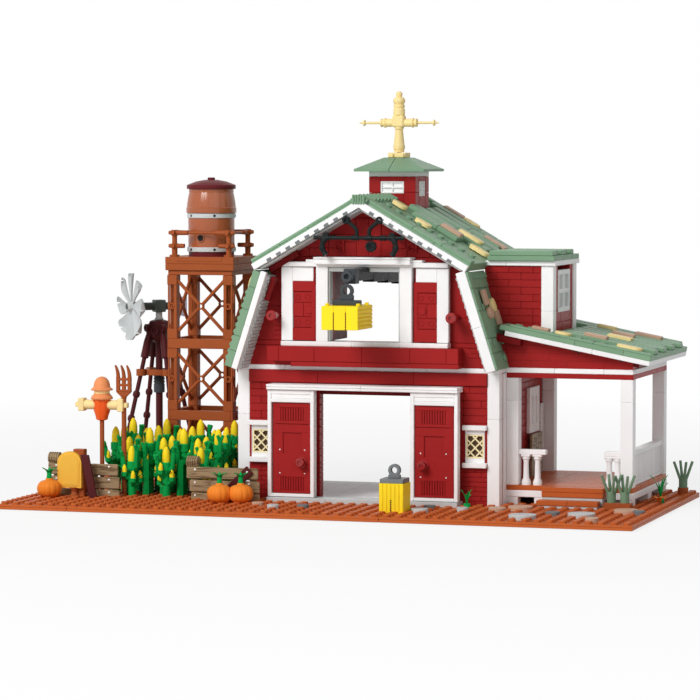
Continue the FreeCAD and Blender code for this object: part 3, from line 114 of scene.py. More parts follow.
class BarnPaints(PropertyGroup):
    """Colours of the moulded plastic."""

    red: paint("Brick red", 158, 37, 37)
    # Painted shade: a darker copy of the brick red, for red parts that sit in recesses and under the eaves.
    deep_red: paint("Shaded red", 112, 20, 22)
    white: paint("White", 245, 245, 245)
    green: paint("Sand green", 128, 161, 131)
    orange: paint("Base orange", 192, 98, 50)
    pale_grey: paint("Pale grey", 198, 202, 202)
    mid_grey: paint("Mid grey", 120, 124, 126)
    dark_grey: paint("Dark grey", 72, 76, 80)
    black: paint("Black", 34, 38, 38)
    sand: paint("Sand yellow", 246, 222, 158)
    rose: paint("Rose tan", 200, 164, 140)
    hay: paint("Hay yellow", 255, 224, 44)
    tower: paint("Tower brown", 162, 84, 46)
    umber: paint("Dark brown", 86, 38, 40)
    leaf: paint("Leaf green", 16, 158, 76)
    sage: paint("Sage green", 116, 146, 118)
    board: paint("Fence board", 160, 138, 106)
    grain: paint("Board grain", 104, 82, 58)
    gold: paint("Sign gold", 240, 188, 74)
    pumpkin: paint("Pumpkin", 240, 138, 48)
    coral: paint("Coat orange", 238, 96, 38)
    smoke: paint("Smoked pane", 104, 84, 64)
    maroon: paint("Maroon", 104, 38, 42)
    slate: paint("Slate", 84, 92, 88)
    lilac: paint("Lilac grey", 192, 190, 204)
    cream: paint("Cream", 250, 236, 188)
    peach: paint("Hat orange", 236, 150, 98)
    oak: paint("Cask brown", 166, 88, 50)
    peg: paint("Peg red", 150, 26, 28)


def sizes():
    """The brick sizes in millimetres."""
    group = bpy.context.scene.barn_sizes
    return SimpleNamespace(**{name: getattr(group, name) / MM for name in BarnSizes.__annotations__})


# Materials.

# Range of the roughness and level of the mirror shine.
SATIN = ((0.3, 0.44), 0.07)
POLISH = ((0.16, 0.24), 0.5)
POLISHED = ("peg", "oak")
PRINTED = ("board",)
SHADE_SPREAD = 0.04
GRAIN_STRETCH = (40, 40, 420)


def linear(value):
    """Screen colour values turned into light values."""
    return [c / 12.92 if c <= 0.04045 else ((c + 0.055) / 1.055) ** 2.4 for c in value]


def set_inputs(tree, node, inputs):
    """Links each input that is given a socket and sets each one that is given a value."""
    for key, value in inputs.items():
        if isinstance(value, bpy.types.NodeSocket):
            tree.links.new(value, node.inputs[key])
        else:
            node.inputs[key].default_value = value


def add_node(tree, kind, inputs=None, **settings):
    """A shader node of a kind, with its settings made and its inputs set or linked."""
    node = tree.nodes.new("ShaderNode" + kind)
    for key, value in settings.items():
        setattr(node, key, value)
    set_inputs(tree, node, inputs or {})
    return node


def map_range(tree, source, low, high, start=0, end=1):
    """A value carried in a straight line from one range to another."""
    inputs = {"Value": source, "From Min": start, "From Max": end, "To Min": low, "To Max": high}
    return add_node(tree, "MapRange", inputs).outputs["Result"]


def noise(tree, coords, scale, detail, distortion=0):
    """Smooth noise: the scale is the number of its grains in a metre."""
    inputs = {"Vector": coords, "Scale": scale, "Detail": detail, "Distortion": distortion}
    return add_node(tree, "TexNoise", inputs).outputs["Fac"]


def paint_value(name):
    """The light value of a paint, with full cover."""
    return (*linear(getattr(bpy.context.scene.barn_paints, name)), 1)


def printed_grain(tree, coords, colour):
    """A printed wood grain: noise drawn out along the board blends the colour with a darker brown."""
    stretch = add_node(tree, "Mapping", {"Vector": coords, "Scale": GRAIN_STRETCH})
    rings = noise(tree, stretch.outputs["Vector"], 1.6, 4, 0.8)
    share = map_range(tree, rings, 0, 0.9, 0.5, 0.62)
    blend = add_node(tree, "Mix", {6: colour, 7: paint_value("grain"), "Factor": share}, data_type="RGBA")
    return blend.outputs[2]


def moulded(name):
    """Moulded plastic: a brick's own shade and a flow mark vary the colour, a fine ripple the gloss."""
    found = bpy.data.materials.get(name)
    if found:
        return found
    material = bpy.data.materials.new(name)
    material.use_nodes = True
    tree = material.node_tree
    coords = add_node(tree, "TexCoord").outputs["Object"]
    shade = add_node(tree, "Attribute", attribute_name="shade").outputs["Fac"]
    own = map_range(tree, shade, 1 - SHADE_SPREAD, 1 + SHADE_SPREAD)
    flow = map_range(tree, noise(tree, coords, 45, 2), 0.97, 1.03, 0.3, 0.7)
    value = add_node(tree, "Math", {0: own, 1: flow}, operation="MULTIPLY").outputs[0]
    colour = add_node(tree, "HueSaturation", {"Color": paint_value(name), "Value": value}).outputs["Color"]
    if name in PRINTED:
        colour = printed_grain(tree, coords, colour)
    ripple = noise(tree, coords, 420, 3)
    gloss, shine = POLISH if name in POLISHED else SATIN
    bump = add_node(tree, "Bump", {"Strength": 0.05, "Distance": 0.0002, "Height": ripple})
    set_inputs(tree, tree.nodes["Principled BSDF"], {
        "Base Color": colour, "Roughness": map_range(tree, ripple, *gloss, 0.3, 0.7),
        "Specular IOR Level": shine, "Normal": bump.outputs["Normal"]})
    return material


# Surfaces.

class Place:
    """A local frame: an origin in millimetres and three unit axes at right angles."""

    def __init__(self, origin, first, second, third):
        self.origin = np.array(origin, float)
        self.axes = np.array([first, second, third], float)

    def __call__(self, points):
        return self.origin + np.asarray(points, float) @ self.axes

    def out(self, point):
        """A frame at a point of this one whose third axis comes out of its front."""
        return Place(self(point), self.axes[0], self.axes[2], -self.axes[1])


FRONT = Place((0, 0, 0), (1, 0, 0), (0, 1, 0), (0, 0, 1))
RIGHT = Place((0, 0, 0), (0, 1, 0), (-1, 0, 0), (0, 0, 1))
LEFT = Place((0, 0, 0), (0, -1, 0), (1, 0, 0), (0, 0, 1))
BACK = Place((0, 0, 0), (-1, 0, 0), (0, -1, 0), (0, 0, 1))
QUARTERS = ((-1, -1), (-1, 1), (1, -1), (1, 1))


def upright(x, y, z=0):
    """A frame whose third axis points up at a point."""
    return Place((x, y, z), (1, 0, 0), (0, 1, 0), (0, 0, 1))


def facing_front(x, y, z):
    """A frame whose third axis points to the front of the barn."""
    return Place((x, y, z), (1, 0, 0), (0, 0, 1), (0, -1, 0))


def along_x(x, y, z, side=1):
    """A frame whose third axis points to the right, or to the left for a side of minus one."""
    return Place((x, y, z), (0, side, 0), (0, 0, 1), (side, 0, 0))


def by_count(faces):
    """Faces sorted into arrays by their number of corners."""
    counts = sorted({len(face) for face in faces})
    return [np.array([face for face in faces if len(face) == count]) for count in counts]


def inward(edge, sign, near, far):
    """A span between two distances inwards from an edge."""
    return tuple(sorted((edge + sign * near, edge + sign * far)))


def box_template():
    """A box with chamfered edges: each corner has a point on each of the three faces that meet there."""
    def corner(axis, side, first, second, p, q):
        place = [0, 0, 0]
        place[axis], place[first], place[second] = side, p, q
        return 3 * (4 * place[0] + 2 * place[1] + place[2])

    corners = np.array([(i, j, k) for i in (0, 1) for j in (0, 1) for k in (0, 1)])
    faces = [[3 * c, 3 * c + 1, 3 * c + 2] for c in range(8)]
    for axis in range(3):
        first, second = [i for i in range(3) if i != axis]
        for side in (0, 1):
            faces.append([corner(axis, side, first, second, p, q) + axis
                          for p, q in ((0, 0), (1, 0), (1, 1), (0, 1))])
        for p in (0, 1):
            for q in (0, 1):
                low = corner(axis, 0, first, second, p, q)
                high = corner(axis, 1, first, second, p, q)
                faces.append([low + first, low + second, high + second, high + first])
    on_face = np.eye(3)[None].repeat(8, 0)
    points = (corners[:, None, :] * 2 - 1) * np.where(on_face > 0, 1, 0.9)
    points = points.reshape(-1, 3)
    outward = []
    for face in faces:
        ring = points[face]
        normal = np.cross(ring[1] - ring[0], ring[2] - ring[0])
        outward.append(face if normal @ ring.mean(0) > 0 else face[::-1])
    return corners.repeat(3, 0), np.tile(np.eye(3), (8, 1)), by_count(outward)


BOX_CORNERS, BOX_FACING, BOX_FACES = box_template()


def grid_faces(rows, columns, wrap=False):
    """The four-sided faces between rings of points. Where the rings wrap, the last meets the first."""
    r = np.arange(rows if wrap else rows - 1)[:, None]
    c = np.arange(columns)[None]
    r1 = (r + 1) % rows
    c1 = (c + 1) % columns
    corners = [r * columns + c, r * columns + c1, r1 * columns + c1, r1 * columns + c]
    return np.stack(corners, -1).reshape(-1, 4)


def capped(rows, columns):
    """The faces of a tube of rings: its sides, and a cap on its first and on its last ring."""
    ring = np.arange(columns)[None]
    return [grid_faces(rows, columns), ring[:, ::-1], (rows - 1) * columns + ring]


def flipped(faces):
    """Faces turned to look the other way."""
    return [group[:, ::-1] for group in faces]


class Shell:
    """Closed shapes that make one piece: points in millimetres, faces, and one shade for each shape."""

    def __init__(self, seed=1):
        self.size = sizes()
        self.points = []
        self.faces = []
        self.shades = []
        self.count = 0
        self.draw = np.random.default_rng(seed)

    def add(self, points, faces, place=None):
        """Adds copies of one shape, given as copies by points by three."""
        copies, corners = points.shape[:2]
        flat = points.reshape(-1, 3)
        self.points.append(flat if place is None else place(flat))
        starts = self.count + corners * np.arange(copies)
        for group in faces:
            self.faces.append((starts[:, None, None] + group[None]).reshape(-1, group.shape[1]))
        self.shades.append(self.draw.random(copies).repeat(corners))
        self.count += copies * corners

    def boxes(self, spans, place=None, bevel=None, lean=None):
        """Chamfered boxes, each as x0, x1, y0, y1, z0, z1. Lean moves the two x ends at the top."""
        spans = np.asarray(spans, float).reshape(-1, 6)
        lo = spans[:, None, 0::2]
        hi = spans[:, None, 1::2]
        edge = np.minimum(self.size.bevel if bevel is None else bevel,
                          (hi - lo).min(2, keepdims=True) * 0.4)
        inset = np.where(BOX_FACING[None] > 0, 0, edge)
        points = np.where(BOX_CORNERS[None] > 0, hi - inset, lo + inset)
        if lean is not None:
            lean = np.asarray(lean, float).reshape(-1, 1, 2)
            across = (points[..., 0] - lo[..., 0]) / (hi[..., 0] - lo[..., 0])
            rise = (points[..., 2] - lo[..., 2]) / (hi[..., 2] - lo[..., 2])
            points[..., 0] += rise * (lean[..., 0] * (1 - across) + lean[..., 1] * across)
        self.add(points, BOX_FACES, place)

    def box(self, x, y, z, place=None, bevel=None, lean=None):
        """One chamfered box between three pairs of bounds."""
        self.boxes([x[0], x[1], y[0], y[1], z[0], z[1]], place, bevel, lean)

    def turned(self, profile, place, sides=24, wrap=False, flute=0, flutes=0):
        """A profile of radius and height carried round the third axis. Flutes cut grooves along it."""
        profile = np.asarray(profile, float)
        angle = np.linspace(0, 2 * math.pi, sides, endpoint=False)
        radius = profile[:, :1] * (1 - flute * (np.cos(angle * flutes)[None] > 0.8))
        points = np.stack([radius * np.cos(angle), radius * np.sin(angle), profile[:, 1:] + 0 * radius], -1)
        rows = len(profile)
        faces = [grid_faces(rows, sides, True)] if wrap else capped(rows, sides)
        self.add(points.reshape(1, -1, 3), faces, place)

    def studs(self, spots, place=None, radius=None, height=None, sides=12):
        """Studs: a short cylinder with a chamfered top at each spot, standing along the third axis."""
        spots = np.asarray(spots, float).reshape(-1, 3)
        radius = radius or self.size.stud_r
        height = height or self.size.stud_h
        edge = 0.25
        angle = np.linspace(0, 2 * math.pi, sides, endpoint=False)
        rings = [(radius, 0), (radius, height - edge), (radius - edge, height)]
        template = np.concatenate([
            np.stack([r * np.cos(angle), r * np.sin(angle), np.full(sides, z)], -1) for r, z in rings])
        self.add(spots[:, None] + template[None], capped(3, sides), place)

    def tube(self, path, radius, sides=10):
        """A round section carried along a path of points, its radius given once or for each point."""
        path = np.asarray(path, float)
        radius = np.broadcast_to(np.asarray(radius, float), len(path))
        tangent = np.gradient(path, axis=0)
        tangent /= np.linalg.norm(tangent, axis=1, keepdims=True)
        spread = np.ptp(path, axis=0)
        reference = np.eye(3)[int(np.argmin(spread))]
        first = np.cross(tangent, reference)
        first /= np.linalg.norm(first, axis=1, keepdims=True)
        second = np.cross(tangent, first)
        angle = np.linspace(0, 2 * math.pi, sides, endpoint=False)
        turn = np.stack([np.cos(angle), np.sin(angle)])[..., None]
        ring = first[:, None] * turn[0] + second[:, None] * turn[1]
        points = path[:, None] + ring * radius[:, None, None]
        self.add(points.reshape(1, -1, 3), capped(len(path), sides))

    def slab(self, outline, depth, place=None):
        """An outline of first and third coordinates, counter-clockwise from the front, given a depth."""
        outline = np.asarray(outline, float)
        count = len(outline)
        near = np.stack([outline[:, 0], np.full(count, depth[0]), outline[:, 1]], -1)
        far = near + [0, depth[1] - depth[0], 0]
        self.add(np.concatenate([near, far])[None], flipped(capped(2, count)), place)

    def cone_ring(self, radius, hole, depth, place, sides=20):
        """A flat ring: a square section carried round the third axis."""
        edge = min(0.2, depth * 0.3)
        section = [(radius, edge), (radius, depth - edge), (radius - edge, depth), (hole + edge, depth),
                   (hole, depth - edge), (hole, edge), (hole + edge, 0), (radius - edge, 0)]
        self.turned(section, place, sides, True)

    def mesh(self, name):
        """A mesh of the shapes in metres, smooth but for sharp edges, with the shade of each point."""
        points = np.concatenate(self.points) * MM
        loops = np.concatenate([group.ravel() for group in self.faces])
        corner_counts = np.concatenate([np.full(len(group), group.shape[1]) for group in self.faces])
        starts = np.concatenate([[0], np.cumsum(corner_counts)[:-1]])
        mesh = bpy.data.meshes.new(name)
        mesh.vertices.add(len(points))
        mesh.vertices.foreach_set("co", points.astype(np.float32).ravel())
        mesh.loops.add(len(loops))
        mesh.loops.foreach_set("vertex_index", loops.astype(np.int32))
        mesh.polygons.add(len(corner_counts))
        mesh.polygons.foreach_set("loop_start", starts.astype(np.int32))
        mesh.update(calc_edges=True)
        mesh.validate()
        shade = mesh.attributes.new("shade", "FLOAT", "POINT")
        shade.data.foreach_set("value", np.concatenate(self.shades).astype(np.float32))
        mesh.shade_smooth()
        mesh.set_sharp_from_angle(angle=SHARP)
        return mesh


def dress(shell, name, finish, body="barn", replaces=()):
    """Makes a shell a piece: mesh, material, the body it rides on and the nodes it stands for."""
    piece = bpy.data.objects.new(name, shell.mesh(name))
    bpy.context.scene.collection.objects.link(piece)
    piece.data.materials.append(moulded(finish))
    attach(piece, body)
    if replaces:
        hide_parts(*replaces)


def bond(draw, start, end, lengths, offset):
    """Cuts between two ends in a running bond: bricks of drawn lengths after a first short one."""
    cuts = [start]
    here = start + offset
    while here < end - 2:
        if here > start + 2:
            cuts.append(here)
        here += draw.choice(lengths)
    cuts.append(end)
    return pairs(cuts)


def sash(shell, x, depth, z, bar, place=None, columns=2, rows=2, glass=None):
    """A window: a pane set back between end stiles, level rails, and short uprights between the rails."""
    front, back = depth
    (glass or shell).box(within(*x, 0.1), (front + 1, back), within(*z, 0.1), place)
    shell.boxes([(a, a + bar, front, front + 1.4, *z) for a in (x[0], x[1] - bar)], place, 0.12)
    inner = within(x[0] + bar, x[1] - bar, 0.02)
    levels = np.linspace(z[0], z[1] - bar, rows + 1)
    shell.boxes([(*inner, front, front + 1.4, low, low + bar) for low in levels], place, 0.12)
    uprights = np.linspace(x[0], x[1] - bar, columns + 1)[1:-1]
    shell.boxes([(a, a + bar, front + 0.05, front + 1.4, low + bar + 0.02, high - 0.02)
                 for a in uprights for low, high in pairs(levels)], place, 0.12)


def masonry(shell, x, y, z, holes=(), place=None, course=None, lengths=(12, 16, 24)):
    """Courses of bricks in a running bond between two heights, with openings left out."""
    size = shell.size
    rows = max(1, round((z[1] - z[0]) / (course or size.course)))
    tall = (z[1] - z[0]) / rows
    gap = size.seam / 2
    spans = []
    for row in range(rows):
        low = z[0] + row * tall
        high = low + tall
        free = [x]
        for hole in holes:
            if hole[2] < (low + high) / 2 < hole[3]:
                cut = []
                for a, b in free:
                    cut += [(a, min(b, hole[0])), (max(a, hole[1]), b)]
                free = [(a, b) for a, b in cut if b - a > 0.5]
        for a, b in free:
            bricks = bond(shell.draw, a, b, lengths, size.pitch * (row % 2) + size.pitch)
            spans += [(*within(u, v, gap), *y, *within(low, high, gap)) for u, v in bricks]
    shell.boxes(spans, place)


def stud_grid(x, y, z, pitch, blocked=()):
    """Stud spots on a grid over a rectangle, apart from those in blocked rectangles."""
    xs = np.arange(x[0] + pitch / 2, x[1], pitch)
    ys = np.arange(y[0] + pitch / 2, y[1], pitch)
    spots = np.array([(a, b, z) for a in xs for b in ys])
    keep = np.ones(len(spots), bool)
    for x0, x1, y0, y1 in blocked:
        keep &= ~((spots[:, 0] > x0) & (spots[:, 0] < x1) & (spots[:, 1] > y0) & (spots[:, 1] < y1))
    return spots[keep]


# Pieces of the barn, in millimetres.

# Round stones by paint: x, y and radius.
STONES = {
    "pale_grey": [(135, -86, 8.6), (-30, -77, 3.8), (65, -72, 5.6), (168, -68, 8.6),
                  (89, -58, 3.8)],
    "mid_grey": [(149, -65, 4.6), (-12, -71, 3.8), (66, -52, 3.8), (199, -44, 3.8)],
    "rose": [(180, -92, 4.2), (190, -40, 7.8), (122, -40, 7.8), (-44, -66, 3.8),
             (110, -52, 5.6)]}


def build_base():
    """Three plates with rims and ribs below and studs where nothing covers them, floor tiles, stones."""
    size = sizes()
    covered = [span(node) for node in ("corner_posts", "porch_deck", "porch_steps", "door_sill")]
    wall = covered[0]
    wall.y1 = span("base_plate_middle").y1
    blocked = [(s.x0, s.x1, s.y0, s.y1) for s in covered]
    skin = 1.4
    rim = 2.4
    ground = size.plate
    for node in ("base_plate_left", "base_plate_middle", "base_plate_right"):
        s = span(node)
        shell = Shell(3)
        x = within(*s.x, 0.06)
        shell.box(x, s.y, (ground - skin, ground))
        under = (0, ground - skin - 0.02)
        for y in ((s.y0 + 0.05, s.y0 + rim), (-rim / 2, rim / 2), (s.y1 - rim, s.y1 - 0.05)):
            shell.box(within(*x), y, under)
        for mid in (x[0] + rim / 2 + 0.05, (x[0] + x[1]) / 2, x[1] - rim / 2 - 0.05):
            for y in (within(s.y0 + rim, -rim / 2, 0.1), within(rim / 2, s.y1 - rim, 0.1)):
                shell.box((mid - rim / 2, mid + rim / 2), y, under)
        shell.studs(stud_grid(s.x, s.y, ground, size.pitch, blocked))
        dress(shell, "studded_" + node, "orange", replaces=[node])
    floor = Shell(5)
    inside = ((wall.x0 + size.pitch, wall.x1 - size.pitch), (wall.y0 + size.pitch, wall.y1))
    half = size.pitch - size.seam / 2
    floor.boxes([(a - half, a + half, b - half, min(b + half, wall.y1), c, c + 1)
                 for a, b, c in stud_grid(*inside, ground, 2 * size.pitch)])
    dress(floor, "barn_floor_tiles", "white")
    for finish, spots in STONES.items():
        shell = Shell(7)
        high = size.stud_h + 1.2
        for x, y, radius in spots:
            shell.turned([(radius, 0), (radius, high - 0.3), (radius - 0.3, high)],
                         upright(x, y, ground), 24)
        dress(shell, "stones_" + finish, finish)


def build_walls():
    """Lower storey: masonry walls, white posts, plates and sills, and the latticed windows."""
    size = sizes()
    wall = span("front_wall")
    post = span("corner_posts")
    loft = span("loft_floor")
    frame_left = span("door_frame_left")
    frame_right = span("door_frame_right")
    lattice = span("lattice_windows")
    face = post.y0
    inner = face + size.pitch
    doorway = within(frame_left.x1, frame_right.x0, 0.3)
    band = (loft.z0 - size.pitch, loft.z0)
    head = span("door_header").z0 - 0.6
    wide = 12.8
    sill = lattice.z0 - size.plate
    holes = [(doorway[0], doorway[1], 0, head),
             (lattice.x0, lattice.x0 + wide, lattice.z0, lattice.z1),
             (lattice.x1 - wide, lattice.x1, lattice.z0, lattice.z1)]
    shell = Shell(11)
    masonry(shell, wall.x, (face, inner), (wall.z0, sill), holes, course=size.plate)
    masonry(shell, wall.x, (face, inner), (sill, band[0]), holes)
    joints = (wall.x0, doorway[0] - 1, doorway[1] - 0.5, wall.x1)
    shell.boxes([(a + 0.05, b - 0.05, wall.y0, inner, *band) for a, b in pairs(joints)])
    side = span("side_walls")
    window = (4, 20, 45.6, 73.6)
    masonry(shell, side.y, (-side.x1, -side.x1 + size.pitch), side.z, [window], RIGHT)
    masonry(shell, (-side.y1, -side.y0), (side.x0, side.x0 + size.pitch), side.z, (), LEFT)
    dress(shell, "masonry_walls", "red", replaces=["front_wall", "side_walls"])
    # The lintel inside the doorway takes the shaded red: painted shade.
    lintel = Shell(16)
    lintel.box(within(*doorway), (face + 1, inner - 0.1), (head - 2.8, head - 0.1))
    dress(lintel, "doorway_lintel", "deep_red")

    white = Shell(12)
    cut = 58.9
    for x in (post.x0, post.x1 - size.pitch):
        for y in (post.y0, post.y1 - size.pitch):
            white.boxes([(x, x + size.pitch, y, y + size.pitch, a + 0.04, b - 0.04)
                         for a, b in ((post.z0, cut), (cut, post.z1))])
    dress(white, "white_posts", "white", replaces=["corner_posts"])
    plates = Shell(13)
    seams = bond(plates.draw, loft.x0, loft.x1, (32, 48), 32)
    plates.boxes([(a + 0.05, b - 0.05, loft.y0, loft.y0 + size.pitch - 0.05, loft.z0, loft.z1)
                  for a, b in seams])
    plates.box(within(*loft.x, 0.1), (loft.y0 + size.pitch, loft.y1), within(*loft.z))
    dress(plates, "loft_plates", "white", replaces=["loft_floor"])

    net = Shell(14)
    smoke = Shell(15)
    rim = Shell(17)
    edge = (0.5, 2.8)
    for x0 in (lattice.x0, lattice.x1 - wide):
        x = (x0 + edge[0], x0 + wide - edge[0])
        z = (lattice.z0 + edge[1], lattice.z1 - edge[1])
        depth = (face - 0.6, face + 1.2)
        rim.boxes([(a, a + edge[0], *depth, lattice.z0, lattice.z1) for a in (x0, x[1])], bevel=0.15)
        rim.boxes([(x[0] + 0.02, x[1] - 0.02, *depth, a, a + edge[1]) for a in (lattice.z0, z[1])],
                  bevel=0.15)
        net.boxes([(a, a + 1, face - 0.3, face + 1, *z) for a in (x[0] + 0.05, x[1] - 1.05)], bevel=0.15)
        net.boxes([(x[0] + 1.1, x[1] - 1.1, face - 0.3, face + 1, a, a + 1) for a in (z[0], z[1] - 1)],
                  bevel=0.15)
        lattice_bars(net, within(*x, 1), within(*z, 1), face + 0.3)
        smoke.box(within(x0, x0 + wide, 0.1), (face + 2, face + 3.4), within(*lattice.z, 0.1))
    dress(net, "window_lattice", "cream", replaces=["lattice_windows"])
    dress(rim, "window_rims", "white")
    dress(smoke, "smoked_panes", "smoke")


def lattice_bars(shell, x, z, y):
    """Crossing diagonal bars that fill a rectangle, each cut off at its edges."""
    step = 6
    half = 0.45
    rise = z[1] - z[0]
    run = x[1] - x[0]
    for along, origin in ((1, x[0]), (-1, x[1])):
        for start in np.arange(-rise + 0.4, run, step):
            t0 = max(0, -start)
            t1 = min(rise, run - start)
            if t1 - t0 < 0.6:
                continue
            a = np.array([origin + along * (start + t0), y + 0.05 * along, z[0] + t0])
            b = np.array([origin + along * (start + t1), y + 0.05 * along, z[0] + t1])
            axis = (b - a) / np.linalg.norm(b - a)
            depth = np.array([0, 1, 0])
            shell.box((-half, half), (-half, half), (0, np.linalg.norm(b - a)),
                      Place(a, np.cross(depth, axis), depth, axis), 0.1)


def door_leaf(name, hinge, leaf, knob, mid, z):
    """A door leaf: borders round two ribbed fields and a sunken square, with rivets and a turned peg."""
    body = "door_leaf_%s_body" % name
    face = mid - 1.6
    back = mid + 1.6
    pin = leaf.x0 + 1.6 if hinge < 0 else leaf.x1 - 1.6
    panel = (pin, leaf.x1) if hinge < 0 else (leaf.x0, pin)
    wide = panel[1] - panel[0]
    tall = z[1] - z[0]
    red = Shell(24)
    red.box(within(*panel, 0.04), (face + 0.9, back), within(*z, 0.04))

    def across(fraction):
        """The place at a fraction of the width from the hinge."""
        return panel[0] + fraction * wide if hinge < 0 else panel[1] - fraction * wide

    def field(left, right, top, bottom, sink=0):
        """A raised field between fractions of the width from the hinge and of the height from the top."""
        x = sorted((across(left), across(right)))
        red.box(within(*x, 0.02), (face + sink, face + 1),
                within(z[1] - bottom * tall, z[1] - top * tall, 0.02), bevel=0.1)

    ribbed = (0.17, 0.81)
    square = (0.23, 0.75, 0.33, 0.56)
    seam = 0.235
    rib_count = 9
    for top, bottom in ((0, 0.05), (0.2, seam - 0.003), (seam + 0.003, square[2]),
                        (square[3], 0.82), (0.975, 1)):
        field(0, 1, top, bottom)
    for (left, right), top, bottom in ((ribbed, 0.05, 0.2), (square[:2], *square[2:]),
                                       (ribbed, 0.82, 0.975)):
        field(0, left, top, bottom)
        field(right, 1, top, bottom)
    for top, bottom in ((0.05, 0.2), (0.82, 0.975)):
        cuts = np.linspace(*ribbed, rib_count + 1)
        for a, b in pairs(cuts):
            field(a + 0.012, b - 0.012, top, bottom, 0.15)
    red.turned([(1.55, z[0] + 0.1), (1.55, z[1] - 0.1)], upright(pin, mid), 16)
    red.turned([(1, leaf.z0), (1, leaf.z1)], upright(pin, mid), 12)
    dress(red, "door_panels_" + name, "red", body, ["door_leaf_" + name])
    rivet = Shell(25)
    for fraction in (0.15, 0.84):
        for down in (0.52, 0.78):
            rivet.turned([(0.45, -0.1), (0.45, 0.15), (0.25, 0.25)],
                         facing_front(across(fraction), face, z[1] - down * tall), 12)
    dress(rivet, "door_rivets_" + name, "white", body)
    peg = Shell(26)
    reach = face - knob.y0
    peg.turned([(3.5, -0.2), (3.5, 1.1), (3.2, 1.4), (2.1, 1.5), (2.1, reach * 0.5), (2.9, reach * 0.52),
                (2.9, reach - 0.4), (2.4, reach), (1.4, reach), (1.3, reach - 0.7)],
               facing_front(knob.cx, face, knob.cz), 20)
    dress(peg, "door_pull_" + name, "peg", body, ["door_knob_" + name])


def build_doors():
    """Sliding doors: grooved sill and header, white frames, and the two red leaves."""
    sill = span("door_sill")
    head = span("door_header")
    left = span("door_frame_left")
    mid = left.cy
    groove = (mid - 1.2, mid + 1.2)
    centre = sill.cx
    grey = Shell(21)
    for a, b in ((sill.x0, centre - 24), (centre - 24, centre + 24), (centre + 24, sill.x1)):
        for y in ((sill.y0, groove[0]), (groove[1], sill.y1)):
            grey.box(within(a, b), y, sill.z)
    grey.box(within(*sill.x, 0.1), within(*groove, 0.02), (sill.z0, sill.z0 + 1))
    dress(grey, "door_track", "pale_grey", replaces=["door_sill"])
    top = Shell(22)
    layer = head.cz
    for a, b in ((head.x0, centre), (centre, head.x1)):
        for y in ((head.y0, groove[0]), (groove[1], head.y1)):
            top.box(within(a, b), (y[0] + 0.3 * (y[0] == head.y0), y[1]), (head.z0, layer - 0.05))
            top.box(within(a, b), y, (layer, head.z1))
    top.box(within(*head.x, 0.1), within(*groove, 0.02), (head.z1 - 1, head.z1 - 0.05))
    dress(top, "door_head", "white", replaces=["door_header"])
    for name, hinge in (("left", -1), ("right", 1)):
        s = span("door_frame_" + name)
        leaf = span("door_leaf_" + name)
        knob = span("door_knob_" + name)
        y = (mid - 3, mid + 3)
        foot = s.z0 + 1.4
        lintel = s.z1 - 1.4
        open_x = (leaf.x0 - 0.3, leaf.x1 + 0.3)
        open_z = (foot + 2, lintel - 8)
        shell = Shell(23)
        for x in ((s.x0, open_x[0]), (open_x[1], s.x1)):
            shell.box(x, y, (foot, lintel))
        shell.box(within(*open_x, 0.02), y, (foot, open_z[0]))
        for step in range(3):
            low = open_z[1] + step * 8 / 3
            shell.box(within(*open_x, 0.02), (y[0] + 0.5 * (step % 2), y[1]),
                      within(low, low + 8 / 3, 0.02))
        for z in ((s.z0, foot + 0.2), (lintel - 0.2, s.z1)):
            shell.box(within(*s.x, 0.1), (mid - 0.9, mid + 0.9), z)
        dress(shell, "door_casing_" + name, "white", "door_" + name, ["door_frame_" + name])
        door_leaf(name, hinge, leaf, knob, mid, within(*open_z, 0.3))


def build_shutter(name, sign, gap):
    """A shutter: panels in a sunken field with rings and a knob, a round hinge edge, and white stiles."""
    panel = span("shutter_" + name)
    stile = span("shutter_stile_" + name)
    body = "shutter_%s_body" % name
    pin = panel.x1 - 2 if sign < 0 else panel.x0 + 2
    x = (panel.x0, pin) if sign < 0 else (pin, panel.x1)
    y = stile.y
    z0 = stile.z0
    z1 = stile.z1
    top = z1 - 9
    wide = x[1] - x[0]
    red = Shell(34)
    red.box(within(*x, 0.1), (y[0] + 1.4, y[1]), within(z0, top, 0.1))
    for low, high, sink in ((0, 8.4, 0), (8.4, 15.4, 1), (15.4, 24.6, 1), (24.6, 31.6, 1),
                            (31.6, top - z0, 0)):
        cuts = (x[0], x[0] + wide * 0.51, x[1]) if low == 15.4 else (x[0] + 0.6 * sink, x[1] - 0.6 * sink)
        for a, b in pairs(cuts):
            red.box(within(a, b, gap), (y[0] + 0.8 * sink, y[0] + 1.8), within(z0 + low, z0 + high, 0.12))
        for k in (0.25, 0.72) if sink and low != 15.4 else ():
            red.cone_ring(1.8, 1.4, 0.5, facing_front(x[0] + k * wide, y[0] + 1, z0 + (low + high) / 2), 12)
    knob_x = x[0] + (0.78 if sign < 0 else 0.28) * wide
    red.turned([(2.7, 0), (2.7, 0.5), (2.4, 0.75)], facing_front(knob_x, y[0] + 0.85, z0 + 20), 20)
    mid = (y[0] + y[1]) / 2
    red.turned([(2, z0), (2, top)], upright(pin, mid), 16)
    red.turned([(1, panel.z0), (1, panel.z1)], upright(pin, mid), 12)
    dress(red, "shutter_panels_" + name, "red", body, ["shutter_" + name])
    edge = Shell(35)
    edge.box(stile.x, y, (z0, z1))
    edge.box(within(*x), y, (top, z1))
    dress(edge, "shutter_edge_" + name, "white", body, ["shutter_stile_" + name])


